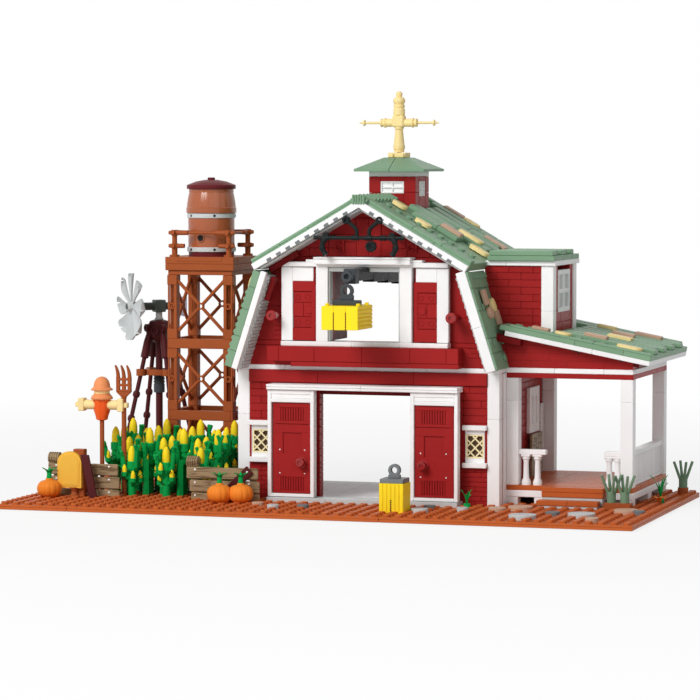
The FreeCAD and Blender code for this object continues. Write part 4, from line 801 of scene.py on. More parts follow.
def build_loft():
    """Loft front: a tiled gable with two pegs, a ledge, a white casing with a hood, and two shutters."""
    size = sizes()
    gable = span("front_gable")
    ledge = span("loft_ledge")
    around = span("loft_surround")
    cx = span("roof_upper_left").x1
    face = ledge.y1
    inner = face + size.pitch
    hole = (cx - 24, cx + 24, ledge.z1 + size.plate, ledge.z1 + size.plate + 48)
    gap = size.seam / 2
    break_z = 156.8
    foot_half = 84
    head_half = 64
    shell = Shell(31)

    def edges(z):
        """The gable's two ends at a height: on the steep slopes below the break, on the others above."""
        low = foot_half - (z - gable.z0) * (foot_half - head_half) / (break_z - gable.z0)
        high = max(0.6, (gable.z1 - z) / (gable.z1 - break_z) * head_half)
        half = low if z <= break_z else high
        return (cx - half, cx + half)

    def course(low, high, *joints):
        """Tiles between two heights and joints: an outer joint left as None follows the gable's edge."""
        ends = edges(low)
        tops = edges(high)
        for a, b in pairs(joints):
            x = (ends[0] if a is None else a + gap, ends[1] if b is None else b - gap)
            lean = (tops[0] - ends[0] if a is None else 0, tops[1] - ends[1] if b is None else 0)
            shell.box(x, (face, inner), within(low, high, gap), lean=lean)

    crest = around.z1
    course(gable.z0, ledge.z1, None, cx - 40, cx, cx + 40, None)
    course(ledge.z1, hole[2], None, None)
    course(hole[2], 129.3, None, hole[0])
    course(129.3, hole[3], None, hole[0])
    course(hole[2], 123.2, hole[1], None)
    course(123.2, hole[3], hole[1], None)
    course(hole[3], break_z, None, None)
    course(break_z, crest, None, None)
    course(crest, 167.2, None, cx - 39, cx - 26, cx + 27, cx + 42, None)
    course(167.2, 176, None, cx - 26, cx + 26, None)
    course(176, 187, None, cx - 8, cx + 9, None)
    course(187, gable.z1 - 0.2, None, None)
    for row in range(4):
        low = hole[2] + row * size.plate
        shell.box((cx - 63, cx - 56.2), (face - 0.4, face + 0.4), within(low, low + size.plate, gap))
    for row in range(3):
        for k in range(2):
            x = cx + 66.6 + 8 * k + 3 * (row % 2)
            shell.box(within(x, x + 8, gap), (face - 0.4, face + 0.4),
                      (97.6 + row * size.plate, 100.7 + row * size.plate))
    joints = (cx - 15, cx - 7, cx + 1.2, cx + 9.6, cx + 17.4)
    for a, b, top in zip(joints[:-1], joints[1:], (171, 186, 186, 173)):
        shell.box(within(a, b, gap), (face - 0.9, face + 0.4), (crest + 0.4, top))
    for x, bar in ((cx - 18.9, cx - 15.6), (cx + 29.5, cx + 33)):
        shell.cone_ring(2.5, 1.7, 1.4, facing_front(x, face, 168))
        shell.box((bar - 0.7, bar + 0.7), (face - 2, face + 0.4), (crest + 3, crest + 11))
    dress(shell, "gable_bricks", "red", replaces=["front_gable"])
    peg = Shell(37)
    for x in (cx - 60, cx + 60):
        peg.turned([(2.2, 0), (2.2, 7.6), (3, 7.8), (3, 10.8), (2.4, 11), (2.4, 12), (3.5, 12.2),
                    (3.5, 15.4), (2.8, 16), (1.4, 16), (1.3, 15)], facing_front(x, face, 123.7), 20)
    dress(peg, "gable_pegs", "peg")
    # The jamb inside the loft opening takes the shaded red: painted shade.
    jamb = Shell(38)
    jamb.box((hole[0] - 2, hole[0] - 0.3), (inner + 0.1, inner + 27), within(hole[2], hole[3], 0.1))
    dress(jamb, "loft_jamb", "deep_red")

    shelf = Shell(32)
    joints = (ledge.x0, ledge.x0 + 8, cx - 32, cx, cx + 32, cx + 56, ledge.x1)
    shelf.boxes([(a + gap, b - gap, ledge.y0, ledge.y1, ledge.z0 + size.plate, ledge.z1)
                 for a, b in pairs(joints)])
    shelf.boxes([(a + gap, b - gap, ledge.y0 + 0.4, ledge.y1, ledge.z0, ledge.z0 + size.plate - 0.08)
                 for a, b in ((ledge.x0 + 16, cx), (cx, ledge.x1))])
    dress(shelf, "loft_ledge_bricks", "red", replaces=["loft_ledge"])

    white = Shell(33)
    front = face - size.pitch
    joints = (around.x0, cx - 8, cx + 24, around.x1)
    white.boxes([(a + gap, b - gap, front, face, ledge.z1 + gap, hole[2] - gap) for a, b in pairs(joints)])
    columns = ((hole[0] - size.pitch, hole[0]), (hole[1], hole[1] + size.pitch))
    for x in columns:
        white.box(x, (front, face), (hole[2], hole[3]))
    rail = hole[3] + size.plate
    white.box(around.x, (front, face), within(hole[3], rail, gap))
    white.box((hole[0] - 15, hole[1] + 15), (front + 0.2, face), (rail, rail + 1.5))
    white.box((hole[0] - 8, hole[1] + 8), (around.y0, face), (rail - 1.4, crest - 1.3))
    white.box((hole[0] - 8.4, hole[1] + 8.4), (around.y0 - 0.6, face), (crest - 1.25, crest))
    dress(white, "loft_casing", "white", replaces=["loft_surround"])
    grey = Shell(36)
    grey.box(within(hole[0], hole[1]), (front + 1.2, face + 0.2), (hole[3] - 3, hole[3] - 0.05))
    for x in ((hole[0] + 0.02, hole[0] + 1), (hole[1] - 1, hole[1] - 0.02)):
        grey.box(x, (front + 1.6, face + 0.2), (hole[2] + 0.05, hole[3] - 3.05))
    dress(grey, "loft_reveal", "pale_grey")
    for name, sign in (("left", -1), ("right", 1)):
        build_shutter(name, sign, gap)


def build_ironwork():
    """Gable ironwork: a level pipe with sleeves, two bent pipes, a pulley disc and scrolled brackets."""
    rail = span("gable_rail")
    cx = span("roof_upper_left").x1
    face = span("loft_ledge").y1
    y = rail.y0 + 1.7
    z = 174.2
    shell = Shell(41)
    shell.tube([(rail.x0, y, z), (rail.x1, y, z)], 1.25, 14)
    for x in (cx - 22, cx - 2.5, cx + 6.5, cx + 16, cx + 22):
        shell.tube([(x - 2.2, y, z), (x + 2.2, y, z)], 1.75, 14)
    for side, foot in ((-1, cx - 1.4), (1, cx + 6.8)):
        bend = np.linspace(0, 1, 6)[:, None]
        corner = np.array([foot, y, z + 5.6])
        tip = np.array([foot + side * 7, y, z + 11.2])
        start = np.array([foot, y, z])
        quarter = corner + (start - corner) * 0.35
        leave = corner + (tip - corner) * 0.3
        arc = (1 - bend) ** 2 * quarter + 2 * bend * (1 - bend) * corner + bend ** 2 * leave
        shell.tube(np.concatenate([[start], arc, [tip]]), 1.3, 12)
        shell.turned([(2.5, -1.6), (2.5, 1.2), (2.1, 1.6), (1.2, 1.6), (1.1, 0.6)], facing_front(*tip), 18)
    shell.turned([(3.5, -1.4), (3.5, 0.9), (3.1, 1.3), (2.1, 1.3), (1.9, 0.7), (1.2, 0.7), (1.1, 0.2)],
                 facing_front(cx + 8, y, z - 5.4), 24)
    for side in (-1, 1):
        x = cx + side * 22
        shell.tube([(x, y, z), (x, face, z)], 1.5, 12)
        turn = np.linspace(0, 1, 9)
        scroll = np.stack([x + side * 5 * turn * (1 - turn) * 2, np.full(9, y), z - 11 * turn], -1)
        shell.tube(scroll, 1.5 + 0.7 * np.sin(turn * math.pi * 2.5) ** 2, 12)
        shell.turned([(2.1, -1.5), (2.1, 1.2), (1.7, 1.5)], facing_front(x, y, z + 1.4), 18)
    dress(shell, "gable_ironwork", "black", replaces=["gable_rail"])


def build_hoist():
    """Hoist: a beam with an eye, black in painted shade behind it, a link with an arched handle, and a bale
    with straps and studs.
    """
    beam = span("hoist_beam")
    bale = span("hay_bale")
    cx = beam.cx
    lug = 10
    front = beam.y0 + lug
    eye_y = beam.y0 + lug / 2
    eye_z = beam.cz
    # Painted shade: the arm behind the head is painted black, darker than the dark grey head, because it
    # lies in the shadow under the roof.
    arm = Shell(54)
    arm.boxes([(beam.x0 + 0.3, beam.x1 - 0.3, a, a + 31.8, beam.z0 + 1.6 - 1.7 * k, beam.z1 - 0.3)
               for k, a in enumerate(np.arange(front + 8, beam.y1 - 31.8, 32))])
    dress(arm, "hoist_arm_shaded", "black", replaces=["hoist_beam"])
    dark = Shell(51)
    dark.box(beam.x, (front, front + 8.2), beam.z)
    dark.box((cx - 1.5, cx + 1.5), (eye_y + 1, front + 0.4), (eye_z - 1.6, eye_z + 1.6))
    dark.cone_ring(3.6, 1.7, 3, facing_front(cx, eye_y + 1.5, eye_z), 24)
    dress(dark, "hoist_head", "dark_grey")
    foot = bale.z1
    loop = Shell(52)
    loop.box((cx - 8.6, cx + 8.6), (eye_y - 3.9, eye_y + 3.9), (foot, foot + 3.2), bevel=0.4)
    arch = foot + 9
    loop.box((cx - 4.2, cx + 4.2), (eye_y - 1.7, eye_y + 1.7), (foot + 3.2, arch - 2.6), bevel=0.3)
    loop.cone_ring(4.2, 2.3, 3.4, facing_front(cx, eye_y + 1.72, arch), 28)
    loop.tube([(cx, eye_y, arch + 3), (cx, eye_y, eye_z - 1.2)], 0.8, 10)
    dress(loop, "shackle_loop", "dark_grey", "hay_load", ["bale_shackle"])
    hay = Shell(53)
    third = (bale.x1 - bale.x0) / 3
    rows = 6
    tall = (bale.z1 - bale.z0) / rows
    hay.box((bale.x0, bale.x1 - 0.8), (bale.y0 + 0.4, bale.y1), (bale.z0, bale.z1 - 0.05))
    hay.boxes([(bale.x0 + i * third + 0.04, bale.x0 + (i + 1) * third - 0.04, bale.y0, bale.y0 + 1,
                bale.z0, bale.z1)
               for i in range(3)])
    hay.boxes([(bale.x1 - 1.2, bale.x1, bale.y0 + 0.8, bale.y1, bale.z0 + k * tall + 0.15,
                bale.z0 + (k + 1) * tall - 0.15)
               for k in range(rows)], bevel=0.6)
    hay.studs([(cx + i * 10.2, y, bale.z1 - 0.1) for i in (-1, 1) for y in within(*bale.y, 7)],
              radius=1.4, height=1.6)
    dress(hay, "hay_bale_bricks", "hay", "hay_load", ["hay_bale"])
    dots = Shell(55)
    dots.studs([(bale.x0 + i * third, z, 0) for i in (1, 2)
                for z in bale.z0 + tall * (np.arange(2 * rows - 3) + 0.5) / 2],
               facing_front(0, bale.y0, 0), 0.5, 0.3, 8)
    dress(dots, "bale_stitches", "umber", "hay_load")


ROOF_FALL = 0.57534
RIDGE = 200
STEEP_HEAD = 70
STEEP_TOP = 153
# Loose-coloured tiles: paint, place down the slope and along the ridge, length, width, level, rounded ends.
RIGHT_TILES = (
    ("sand", 8.4, 2.1, 11, 8, 0.6, True), ("sand", 31.1, -12.7, 12, 8, 0.6, True),
    ("rose", 43, 11.4, 15, 8, 2.6, False), ("sand", 50.6, 27.6, 19, 8, 2.6, True),
    ("sand", 65.6, 10.9, 15, 8, 0.6, True), ("rose", 58.9, 67.4, 17, 8, 1.6, False),
    ("rose", 20.2, 88, 15, 8, 1.6, False), ("sand", 35.9, 86.5, 13, 8, 1.6, True))
LEFT_TILES = (
    ("rose", 20, -20, 16, 8, 0.6, False), ("sand", 48, 9, 16, 8, 2.6, True),
    ("rose", 36, 46, 16, 8, 2.6, False), ("sand", 62, 78, 14, 8, 2.6, True))
STEEP_TILES = {
    1: (("rose", 13, -24, 10, 7.8, 0.5, False), ("rose", 24, -22, 8, 8, 0.5, True),
        ("sand", 19, -11, 9, 8, 0.5, True), ("rose", 27, -8, 10, 7.8, 0.5, False)),
    -1: (("sand", 2, -38, 14, 14, 0.5, True), ("rose", 30, -8, 14, 8, 0.5, False),
         ("sand", 20, 24, 8, 8, 0.5, True), ("rose", 36, 56, 16, 8, 0.5, False))}
SHED_TILES = (
    ("rose", 16.9, -9, 11, 8, 0.4, False), ("sand", 32.1, -11, 11, 8, 0.4, True),
    ("rose", 48.3, 4, 15, 8, 2, False), ("sand", 58.2, 28, 16, 8, 2, False),
    ("rose", 55.1, 54, 15, 8, 2, False), ("rose", 65, 80, 18, 8, 2, False),
    ("sand", 39, 79, 14, 6, 2, True), ("sand", 72.8, -10, 17, 8, 0.4, True))


def slope(side, x, z, fall):
    """A roof slope's frame: down the slope, along the ridge, and out of the surface."""
    run = math.hypot(1, fall)
    down = (side / run, 0, -fall / run)
    out = (side * fall / run, 0, 1 / run)
    return Place((x, 0, z), down, (0, side, 0), out)


def crosswise(side, y0, y1):
    """A span along the ridge, in the slope's own direction."""
    return (y0, y1) if side > 0 else (-y1, -y0)


def roof_tile(shell, place, side, u, y, long, wide, level, rounded):
    """A loose-coloured tile on a slope: a flat block, or one with its two ends rounded."""
    v = crosswise(side, y, y + wide)
    if not rounded:
        shell.box((u, u + long), v, (level, level + 2.4), place, 0.4)
        return
    middle = (v[0] + v[1]) / 2
    half = wide / 2
    angle = np.linspace(-math.pi / 2, math.pi / 2, 9)
    right = np.stack([u + long - half + half * np.cos(angle), middle + half * np.sin(angle)], -1)
    left = np.stack([u + half - half * np.cos(angle), middle - half * np.sin(angle)], -1)
    ring = np.concatenate([right, left])
    top = (ring - ring.mean(0)) * 0.93 + ring.mean(0)
    rings = [np.c_[flat, np.full(len(ring), level + h)] for flat, h in ((ring, 0), (ring, 2.1), (top, 2.5))]
    shell.add(np.concatenate(rings)[None], capped(3, len(ring)), place)


def lay_tiles(shells, place, side, tiles):
    """Tiles laid on a slope, each row of the table with its own paint."""
    for finish, u, y, long, wide, level, rounded in tiles:
        roof_tile(shells[finish], place, side, u, y, long, wide, level, rounded)


def steep_slope(cx):
    """The fall and the length of the steep slopes, from the break of the roof down to the eave."""
    lower = span("roof_lower")
    wide = cx - lower.x0 - STEEP_HEAD
    fall = (STEEP_TOP - lower.z0) / wide
    return fall, wide * math.hypot(1, fall)


def build_roof():
    """Gambrel roof: plated slopes with ribs, studs and coloured tiles, a ridge cap and edge boards."""
    left = span("roof_upper_left")
    cap = span("ridge_cap")
    barge = span("barge_boards")
    cupola = span("cupola_walls")
    cx = left.x1
    half = cx - left.x0
    run = math.hypot(1, ROOF_FALL)
    reach = half * run
    thick = 5.5
    y0 = left.y0
    y1 = left.y1
    shells = {finish: Shell(60 + i) for i, finish in enumerate(("green", "sand", "rose"))}
    green = shells["green"]
    inner = (cupola.x1 - cupola.x0) / 2 * run + 2
    ribs = ((5, 14.5, 24, 58.6), (24, 15, 15, reach - 9), (44, 12, inner, reach - 1.5),
            (60, 12, inner, reach - 11), (76, 12, 14, reach - 2))
    for side in (-1, 1):
        place = slope(side, cx, RIDGE, ROOF_FALL)
        spans = []
        for index, (a, b) in enumerate(bond(green.draw, y0, y1, (24, 32), 24)):
            for u, v in bond(green.draw, 1, reach, (32, 48), 24 + 16 * (index % 2)):
                spans.append((u + 0.05, v - 0.05, *crosswise(side, a + 0.05, b - 0.05), -thick, 0))
        green.boxes(spans, place)
        for u, v in ((3, 40), (40, 62), (62, reach)):
            green.box(within(u, v, 0.06), crosswise(side, y0, y0 + 9), (-0.1, 1.9), place, 0.5)
            green.box(within(u, v, 0.06), crosswise(side, y1 - 6.4, y1), (-0.1, 1.9), place, 0.5)
        for y, wide, start, stop in ribs:
            middle = start + (stop - start) * 0.55
            for u, v in ((start, middle), (middle, stop)):
                green.box(within(u, v, 0.06), crosswise(side, y, y + wide), (-0.1, 3.2), place, 0.6)
        rows = [(u, side * y, -0.1) for y in (-27, -11) for u in np.arange(12, reach - 4, 8)]
        rows += [(u, side * 22, -0.1) for u in np.arange(inner + 4, reach - 4, 8)]
        green.studs(rows, place)
    lay_tiles(shells, slope(1, cx, RIDGE, ROOF_FALL), 1, RIGHT_TILES)
    lay_tiles(shells, slope(-1, cx, RIDGE, ROOF_FALL), -1, LEFT_TILES)
    build_lower_slopes(shells, cx, y0, y1)
    nodes = ["roof_upper_left", "roof_upper_right", "roof_lower"]
    dress(green, "roof_plates", "green", replaces=nodes)
    dress(shells["sand"], "roof_tiles_sand", "sand")
    dress(shells["rose"], "roof_tiles_rose", "rose")
    ridge_ripples(cap, cx)
    edge_boards(barge, cx, half)


def build_lower_slopes(shells, cx, y0, y1):
    """The steep slopes: courses of plates with a ribbed head, studs, bumps in front, and tiles."""
    fall, reach = steep_slope(cx)
    run = math.hypot(1, fall)
    dormer = span("dormer_walls")
    front = span("barge_boards").y0 + 0.3
    thick = 6 * fall / run
    green = shells["green"]
    cuts = (0, 11, 26, 44, 54, reach)
    for side in (-1, 1):
        place = slope(side, cx + side * STEEP_HEAD, STEEP_TOP, fall)
        blocks = [(y0, y1)] if side < 0 else [(y0, dormer.y0), (dormer.y1, y1)]
        for a, b in blocks:
            for row, (u, v) in enumerate(pairs(cuts)):
                for p, q in bond(green.draw, a, b, (24, 32, 40), 24 + 8 * (row % 2)):
                    level = (0, -0.5, 0.3, -0.4, 0.2)[row]
                    green.box(within(u, v, 0.06), crosswise(side, p + 0.05, q - 0.05),
                              (-thick, level), place)
            for y in np.arange(a + 1.5, b - 1, 2.7):
                green.box((1.5, 5), crosswise(side, y, y + 1.6), (0, 0.9), place, 0.3)
            spots = [(u, side * (a + 10 + 8 * k), 0) for u in (24, 48, 58)
                     for k in range(int((b - a - 8) / 8))
                     if (u + k) % 3 == 0]
            green.studs(spots, place)
        bar = (-4.2, 0.9) if side < 0 else (0.4, 1.7)
        for u, v in pairs(cuts):
            green.box(within(u, v), crosswise(side, front, y0 + 5), bar, place, 0.4)
        if side < 0:
            green.boxes([(u, u + 2.6, *crosswise(side, front + 0.6, front + 6), 0.5, 2)
                         for u in np.arange(14, reach - 4, 4.4)],
                        place, 0.5)
        lay_tiles(shells, place, side, STEEP_TILES[side])


def ridge_ripples(cap, cx):
    """Ridge cap: a bent strip, round bars over it a stud apart, and a grooved block at the front."""
    shell = Shell(66)
    pitch = sizes().pitch
    cupola = span("cupola_walls")
    front = span("barge_boards").y0
    half = 5
    across = np.array([-half, 0, half])
    crest = RIDGE - 0.3
    for y0, y1 in ((front + 0.4, cupola.y0), (cupola.y1, cap.y1)):
        for side in (-1, 1):
            place = slope(side, cx, RIDGE, ROOF_FALL)
            shell.box((0, half), crosswise(side, y0, y1), (-1.4, 0.6), place, 0.3)
        for y in np.arange(y0 + 3.2, y1 - 3.4, pitch):
            path = np.stack([cx + across, np.full(3, y), crest - ROOF_FALL * np.abs(across)], -1)
            shell.tube(path, 2.6, 14)
    grooves = np.linspace(-4.2, 4.2, 6)
    shell.boxes([(cx + a + 0.1, cx + b - 0.1, front - 0.9, front + 1.2, RIDGE - 4.6, RIDGE + 1.8)
                 for a, b in pairs(grooves)], bevel=0.5)
    dress(shell, "ridge_ripples", "green", replaces=["ridge_cap"])


def edge_boards(barge, cx, half):
    """White edge boards with square notches painted as grey patches of shade, textured strips under the
    eaves, and red bars by them in painted shade.
    """
    white = Shell(67)
    dark = Shell(68)
    strip = Shell(69)
    red = Shell(70)
    run = math.hypot(1, ROOF_FALL)
    reach = half * run
    front = (barge.y0, barge.y0 + 3.2)
    back = (barge.y1 - 3.2, barge.y1)
    board = (-5.6, -1.4)
    face = span("loft_ledge").y1
    fall, steep = steep_slope(cx)
    apex = 8
    proud = 0.12
    for y in (front, back):
        for side in (-1, 1):
            place = slope(side, cx, RIDGE, ROOF_FALL)
            low_place = slope(side, cx + side * STEEP_HEAD, STEEP_TOP, fall)
            low = [(cx + side * w, RIDGE - ROOF_FALL * w + board[0] * run) for w in (0.02, apex)]
            high = [(cx + side * w, RIDGE - ROOF_FALL * w + board[1] * run) for w in (apex, 0.02)]
            white.slab((low + high)[::side], (y[0] - proud * (y is front), y[1] + proud * (y is back)))
            inside = within(*y, 0.02)
            for a, b in ((apex * run - 4, 27), (27, 58), (58, reach)):
                white.box(within(a, b, 0.04), crosswise(side, *inside), within(*board, 0.03), place)
            level = (-8.2, -4.3) if side < 0 else (-5.95, 0.3)
            for a, b in ((-1, steep * 0.55), (steep * 0.55, steep)):
                white.box(within(a, b, 0.04), crosswise(side, *inside), level, low_place)
            outer = y[0] if y is front else y[1]
            lip = crosswise(side, outer - 0.2, outer + 0.25)
            # Painted shade: mid grey patches at the board's lower edge stand for the shade inside its square
            # notches.
            dark.boxes([(u, u + 3.4, *lip, board[0] - 0.1, board[0] + 1.9)
                        for u in np.arange(11, reach - 10, 7.4)], place, 0.1)
    for side in (-1, 1):
        place = slope(side, cx, RIDGE, ROOF_FALL)
        low_place = slope(side, cx + side * STEEP_HEAD, STEEP_TOP, fall)
        strip.box((4, reach - 3), crosswise(side, front[1] + 0.02, face), (-7.2, -5.7), place)
        sink = -9.2 if side < 0 else -7.2
        strip.box((1, steep - 0.5), crosswise(side, front[1] + 0.02, face), (sink, -6.2), low_place)
        rows = np.arange(1.5, steep - 3, 2.3)
        strip.boxes([(u + 0.15, u + 2.2, *crosswise(side, p, min(p + 3.8, face)),
                      sink - 0.55 - 0.25 * (k % 2), sink + 0.3)
                     for k, u in enumerate(rows) for p in np.arange(front[1] + 0.2 + 2 * (k % 2),
                                                                    face - 0.5, 4)], low_place, 0.25)
        if side < 0:
            # The bars under the eaves take the shaded red: painted shade.
            red.box((56, reach - 6), crosswise(side, face - 9, face - 5), (-11.2, -7.3), place)
            red.box((1, steep * 0.26), crosswise(side, face - 13, face - 8.6),
                    (sink - 4.4, sink - 0.9), low_place)
    dress(white, "edge_boards", "white", replaces=["barge_boards"])
    dress(dark, "edge_notch_shade", "mid_grey")
    dress(strip, "eave_strips", "pale_grey")
    dress(red, "eave_bars", "deep_red")


def build_vane(cx, cy):
    """Weathervane: a square socket with two clips, and a turned stem with two arms and a finial."""
    foot = span("vane_socket")
    tan = Shell(74)
    w = (foot.x1 - foot.x0) / 2
    hole = 2.4
    for a, b, c, d in ((-w, w, hole, w), (-w, w, -w, -hole), (-w, -hole, -hole + 0.02, hole - 0.02),
                       (hole, w, -hole + 0.02, hole - 0.02)):
        tan.box((cx + a, cx + b), (cy + c, cy + d), foot.z)
    tan.boxes([(cx + a - 1.6, cx + a + 1.6, cy - w - 1.6, cy - w + 0.2, foot.z0 + 0.1, foot.z1 - 0.6)
               for a in (-3.6, 3.6)])
    dress(tan, "vane_foot", "sand", replaces=["vane_socket"])

    vane = span("weathervane")
    z = foot.z1 + 0.3
    gold = Shell(75)
    gold.turned([(1.6, vane.z0), (1.6, z + 0.2)], upright(cx, cy), 14)
    gold.turned([(3.4, z), (3.4, z + 2), (3.9, z + 2.1), (3.9, z + 4.4), (3.6, z + 4.8), (2.5, z + 15.2),
                 (3.2, z + 15.4), (3.2, z + 17), (2.6, z + 17.2)], upright(cx, cy), 28)
    bar_z = z + 19.4
    gold.box((cx - 3.9, cx + 3.9), (cy - 3.6, cy + 3.6), (z + 16.6, z + 24.4), bevel=0.8)
    reach = (vane.x1 - vane.x0) / 2
    for side in (-1, 1):
        place = along_x(cx, cy, bar_z, side)
        gold.turned([(2.7, 3.5), (2.7, 8.8), (3.2, 9), (3.2, 10), (2.3, 10.2), (2.3, 11.2),
                     (2.8, 11.4), (2.8, 12.4), (0.9, 12.8), (0.8, reach - 4.2), (2, reach - 4),
                     (2, reach - 3), (0.9, reach - 2.8), (0.3, reach)], place, 18)
    tip = vane.z1
    gold.turned([(3.2, z + 24.2), (3.9, z + 24.6), (3.9, z + 28.4), (3.4, z + 28.6), (3.4, z + 29.6),
                 (3.8, z + 29.8), (3.8, z + 31.2), (3, z + 31.6), (3.4, z + 32), (4, z + 33.2),
                 (4, z + 34.6), (3.2, z + 36), (1.7, z + 36.6), (2, z + 37.2), (2.3, z + 38.2),
                 (2, z + 39.3), (1, tip)], upright(cx, cy), 24)
    dress(gold, "vane_turned", "sand", "vane", ["weathervane"])


def build_cupola():
    """Cupola: brick walls with white windows, a hipped roof in two halves, and the weathervane."""
    size = sizes()
    s = span("cupola_walls")
    roof = span("cupola_roof")
    cx = s.cx
    cy = s.cy
    half = (s.x1 - s.x0) / 2
    pane = 8
    top = s.z1
    red = Shell(71)
    white = Shell(72)
    sill = top - size.plate - 8
    eaves = RIDGE - ROOF_FALL * half + 1
    for place, depth, mid in ((FRONT, s.y0, cx), (BACK, -s.y1, -cx)):
        for a, b in ((mid - half, mid - pane), (mid + pane, mid + half)):
            masonry(red, (a, b), (depth, depth + 8), (eaves, top), place=place, course=9.6, lengths=(16,))
        red.boxes([(mid - pane + 0.02, mid + pane - 0.02, depth, depth + 8, *z)
                   for z in ((top - size.plate, top), (194, sill))],
                  place)
        sash(white, within(mid - pane, mid + pane), (depth + 0.2, depth + 4),
             within(sill, top - size.plate), 0.9, place, 2, 2)
    opening = 7
    for place, depth, mid in ((RIGHT, -s.x1, cy), (LEFT, s.x0, -cy)):
        for a, b in ((mid - half + 8.02, mid - opening), (mid + opening, mid + half - 8.02)):
            red.box((a, b), (depth, depth + 8), (186, top), place)
        red.boxes([(mid - opening + 0.02, mid + opening - 0.02, depth, depth + 8, *z)
                   for z in ((186, sill - 2), (top - size.plate, top))], place)
        sash(white, within(mid - opening, mid + opening), (depth + 0.2, depth + 4),
             (sill - 1.95, top - size.plate - 0.05), 1, place, 2, 2)
    dress(red, "cupola_bricks", "red", replaces=["cupola_walls"])
    dress(white, "cupola_windows", "white")

    hip = Shell(73)
    eave = (roof.x1 - roof.x0) / 2
    crown = 8
    brim = roof.z0 + 1.6
    gap = 0.22
    for side in (-1, 1):
        x = [cx + side * gap, cx + side * eave]
        low = np.array([(x[0], cy - eave), (x[1], cy - eave), (x[1], cy + eave), (x[0], cy + eave)])
        high = np.array([(x[0], cy - crown), (cx + side * crown, cy - crown),
                         (cx + side * crown, cy + crown), (x[0], cy + crown)])
        rings = [np.c_[low, np.full(4, roof.z0)], np.c_[low, np.full(4, brim)],
                 np.c_[high, np.full(4, roof.z1)]]
        faces = capped(3, 4)
        hip.add(np.concatenate(rings)[None], faces if side > 0 else flipped(faces))
    dress(hip, "cupola_hip", "green", replaces=["cupola_roof"])
    build_vane(cx, cy)


def build_dormer():
    """Dormer: masonry cheeks, white posts and trim, a framed window, and a stepped plated roof."""
    size = sizes()
    s = span("dormer_walls")
    roof = span("dormer_roof")
    post_x = (s.x1 - size.pitch, s.x1)
    red = Shell(81)
    low = 110
    masonry(red, (s.x0, post_x[0]), (s.y0, s.y0 + 8), (low, s.z1), lengths=(16, 24))
    masonry(red, (-post_x[0], -s.x0), (-s.y1, -s.y1 + 8), (low, s.z1), place=BACK, lengths=(16, 24))
    side = (s.y0 + size.pitch, s.y1 - size.pitch)
    window = (s.y0 + 16, s.y1 - 16, s.z1 - 30.4, s.z1 - 3.2)
    masonry(red, side, (-s.x1 + 1, -s.x1 + 8), (low, s.z1), [window], RIGHT, course=9.6)
    dress(red, "dormer_bricks", "red", replaces=["dormer_walls"])
    white = Shell(82)
    glass = Shell(84)
    for y in ((s.y0, s.y0 + size.pitch), (s.y1 - size.pitch, s.y1)):
        white.boxes([(post_x[0], post_x[1], y[0], y[1], a, b - 0.08)
                     for a, b in ((low + 2, low + 17), (low + 17, s.z1))])
    eave = span("roof_upper_right").x1 + 0.2
    cuts = bond(white.draw, eave - 2, s.x1 + 1.6, (32,), 14)
    white.boxes([(a + 0.04, b - 0.04, s.y0 - 1.6, s.y1 + 1.6, s.z1 + 0.02, s.z1 + size.plate)
                 for a, b in cuts])
    sash(white, within(window[0], window[1]), (-s.x1 + 0.6, -s.x1 + 5),
         within(window[2], window[3]), 3, RIGHT, glass=glass)
    cupola = span("cupola_walls")
    white.box(cupola.x, cupola.y, (cupola.z1, cupola.z1 + size.plate))
    wall = span("corner_posts")
    lattice = span("lattice_windows")
    for x0 in (lattice.x0, lattice.x1 - 12.8):
        for z in ((lattice.z0 - size.plate, lattice.z0 - 0.02),
                  (lattice.z1 + 0.02, lattice.z1 + size.plate)):
            white.box((x0 - 1.5, x0 + 14.3), (wall.y0 - 3.2, wall.y0 + 0.2), z)
    dress(white, "white_trim_bricks", "white", replaces=["white_trim", "window_panes"])
    dress(glass, "dormer_panes", "pale_grey")
    green = Shell(83)
    low_tier = (roof.z0, roof.z0 + size.plate)
    right = roof.x1 - 2.6
    cuts = bond(green.draw, roof.y0, roof.y1 - 3, (16, 24), 24)
    green.boxes([(eave, right, a + 0.05, b - 0.05, *low_tier) for a, b in cuts])
    for index, y in enumerate(np.arange(roof.y0 + 1, roof.y1 - 11, 12)):
        green.box((eave + 1, right - 1 - 1.5 * (index % 2)), (y, y + 9),
                  (low_tier[1] - 0.1, roof.z1), bevel=0.5)
    dress(green, "dormer_plates", "green", replaces=["dormer_roof"])


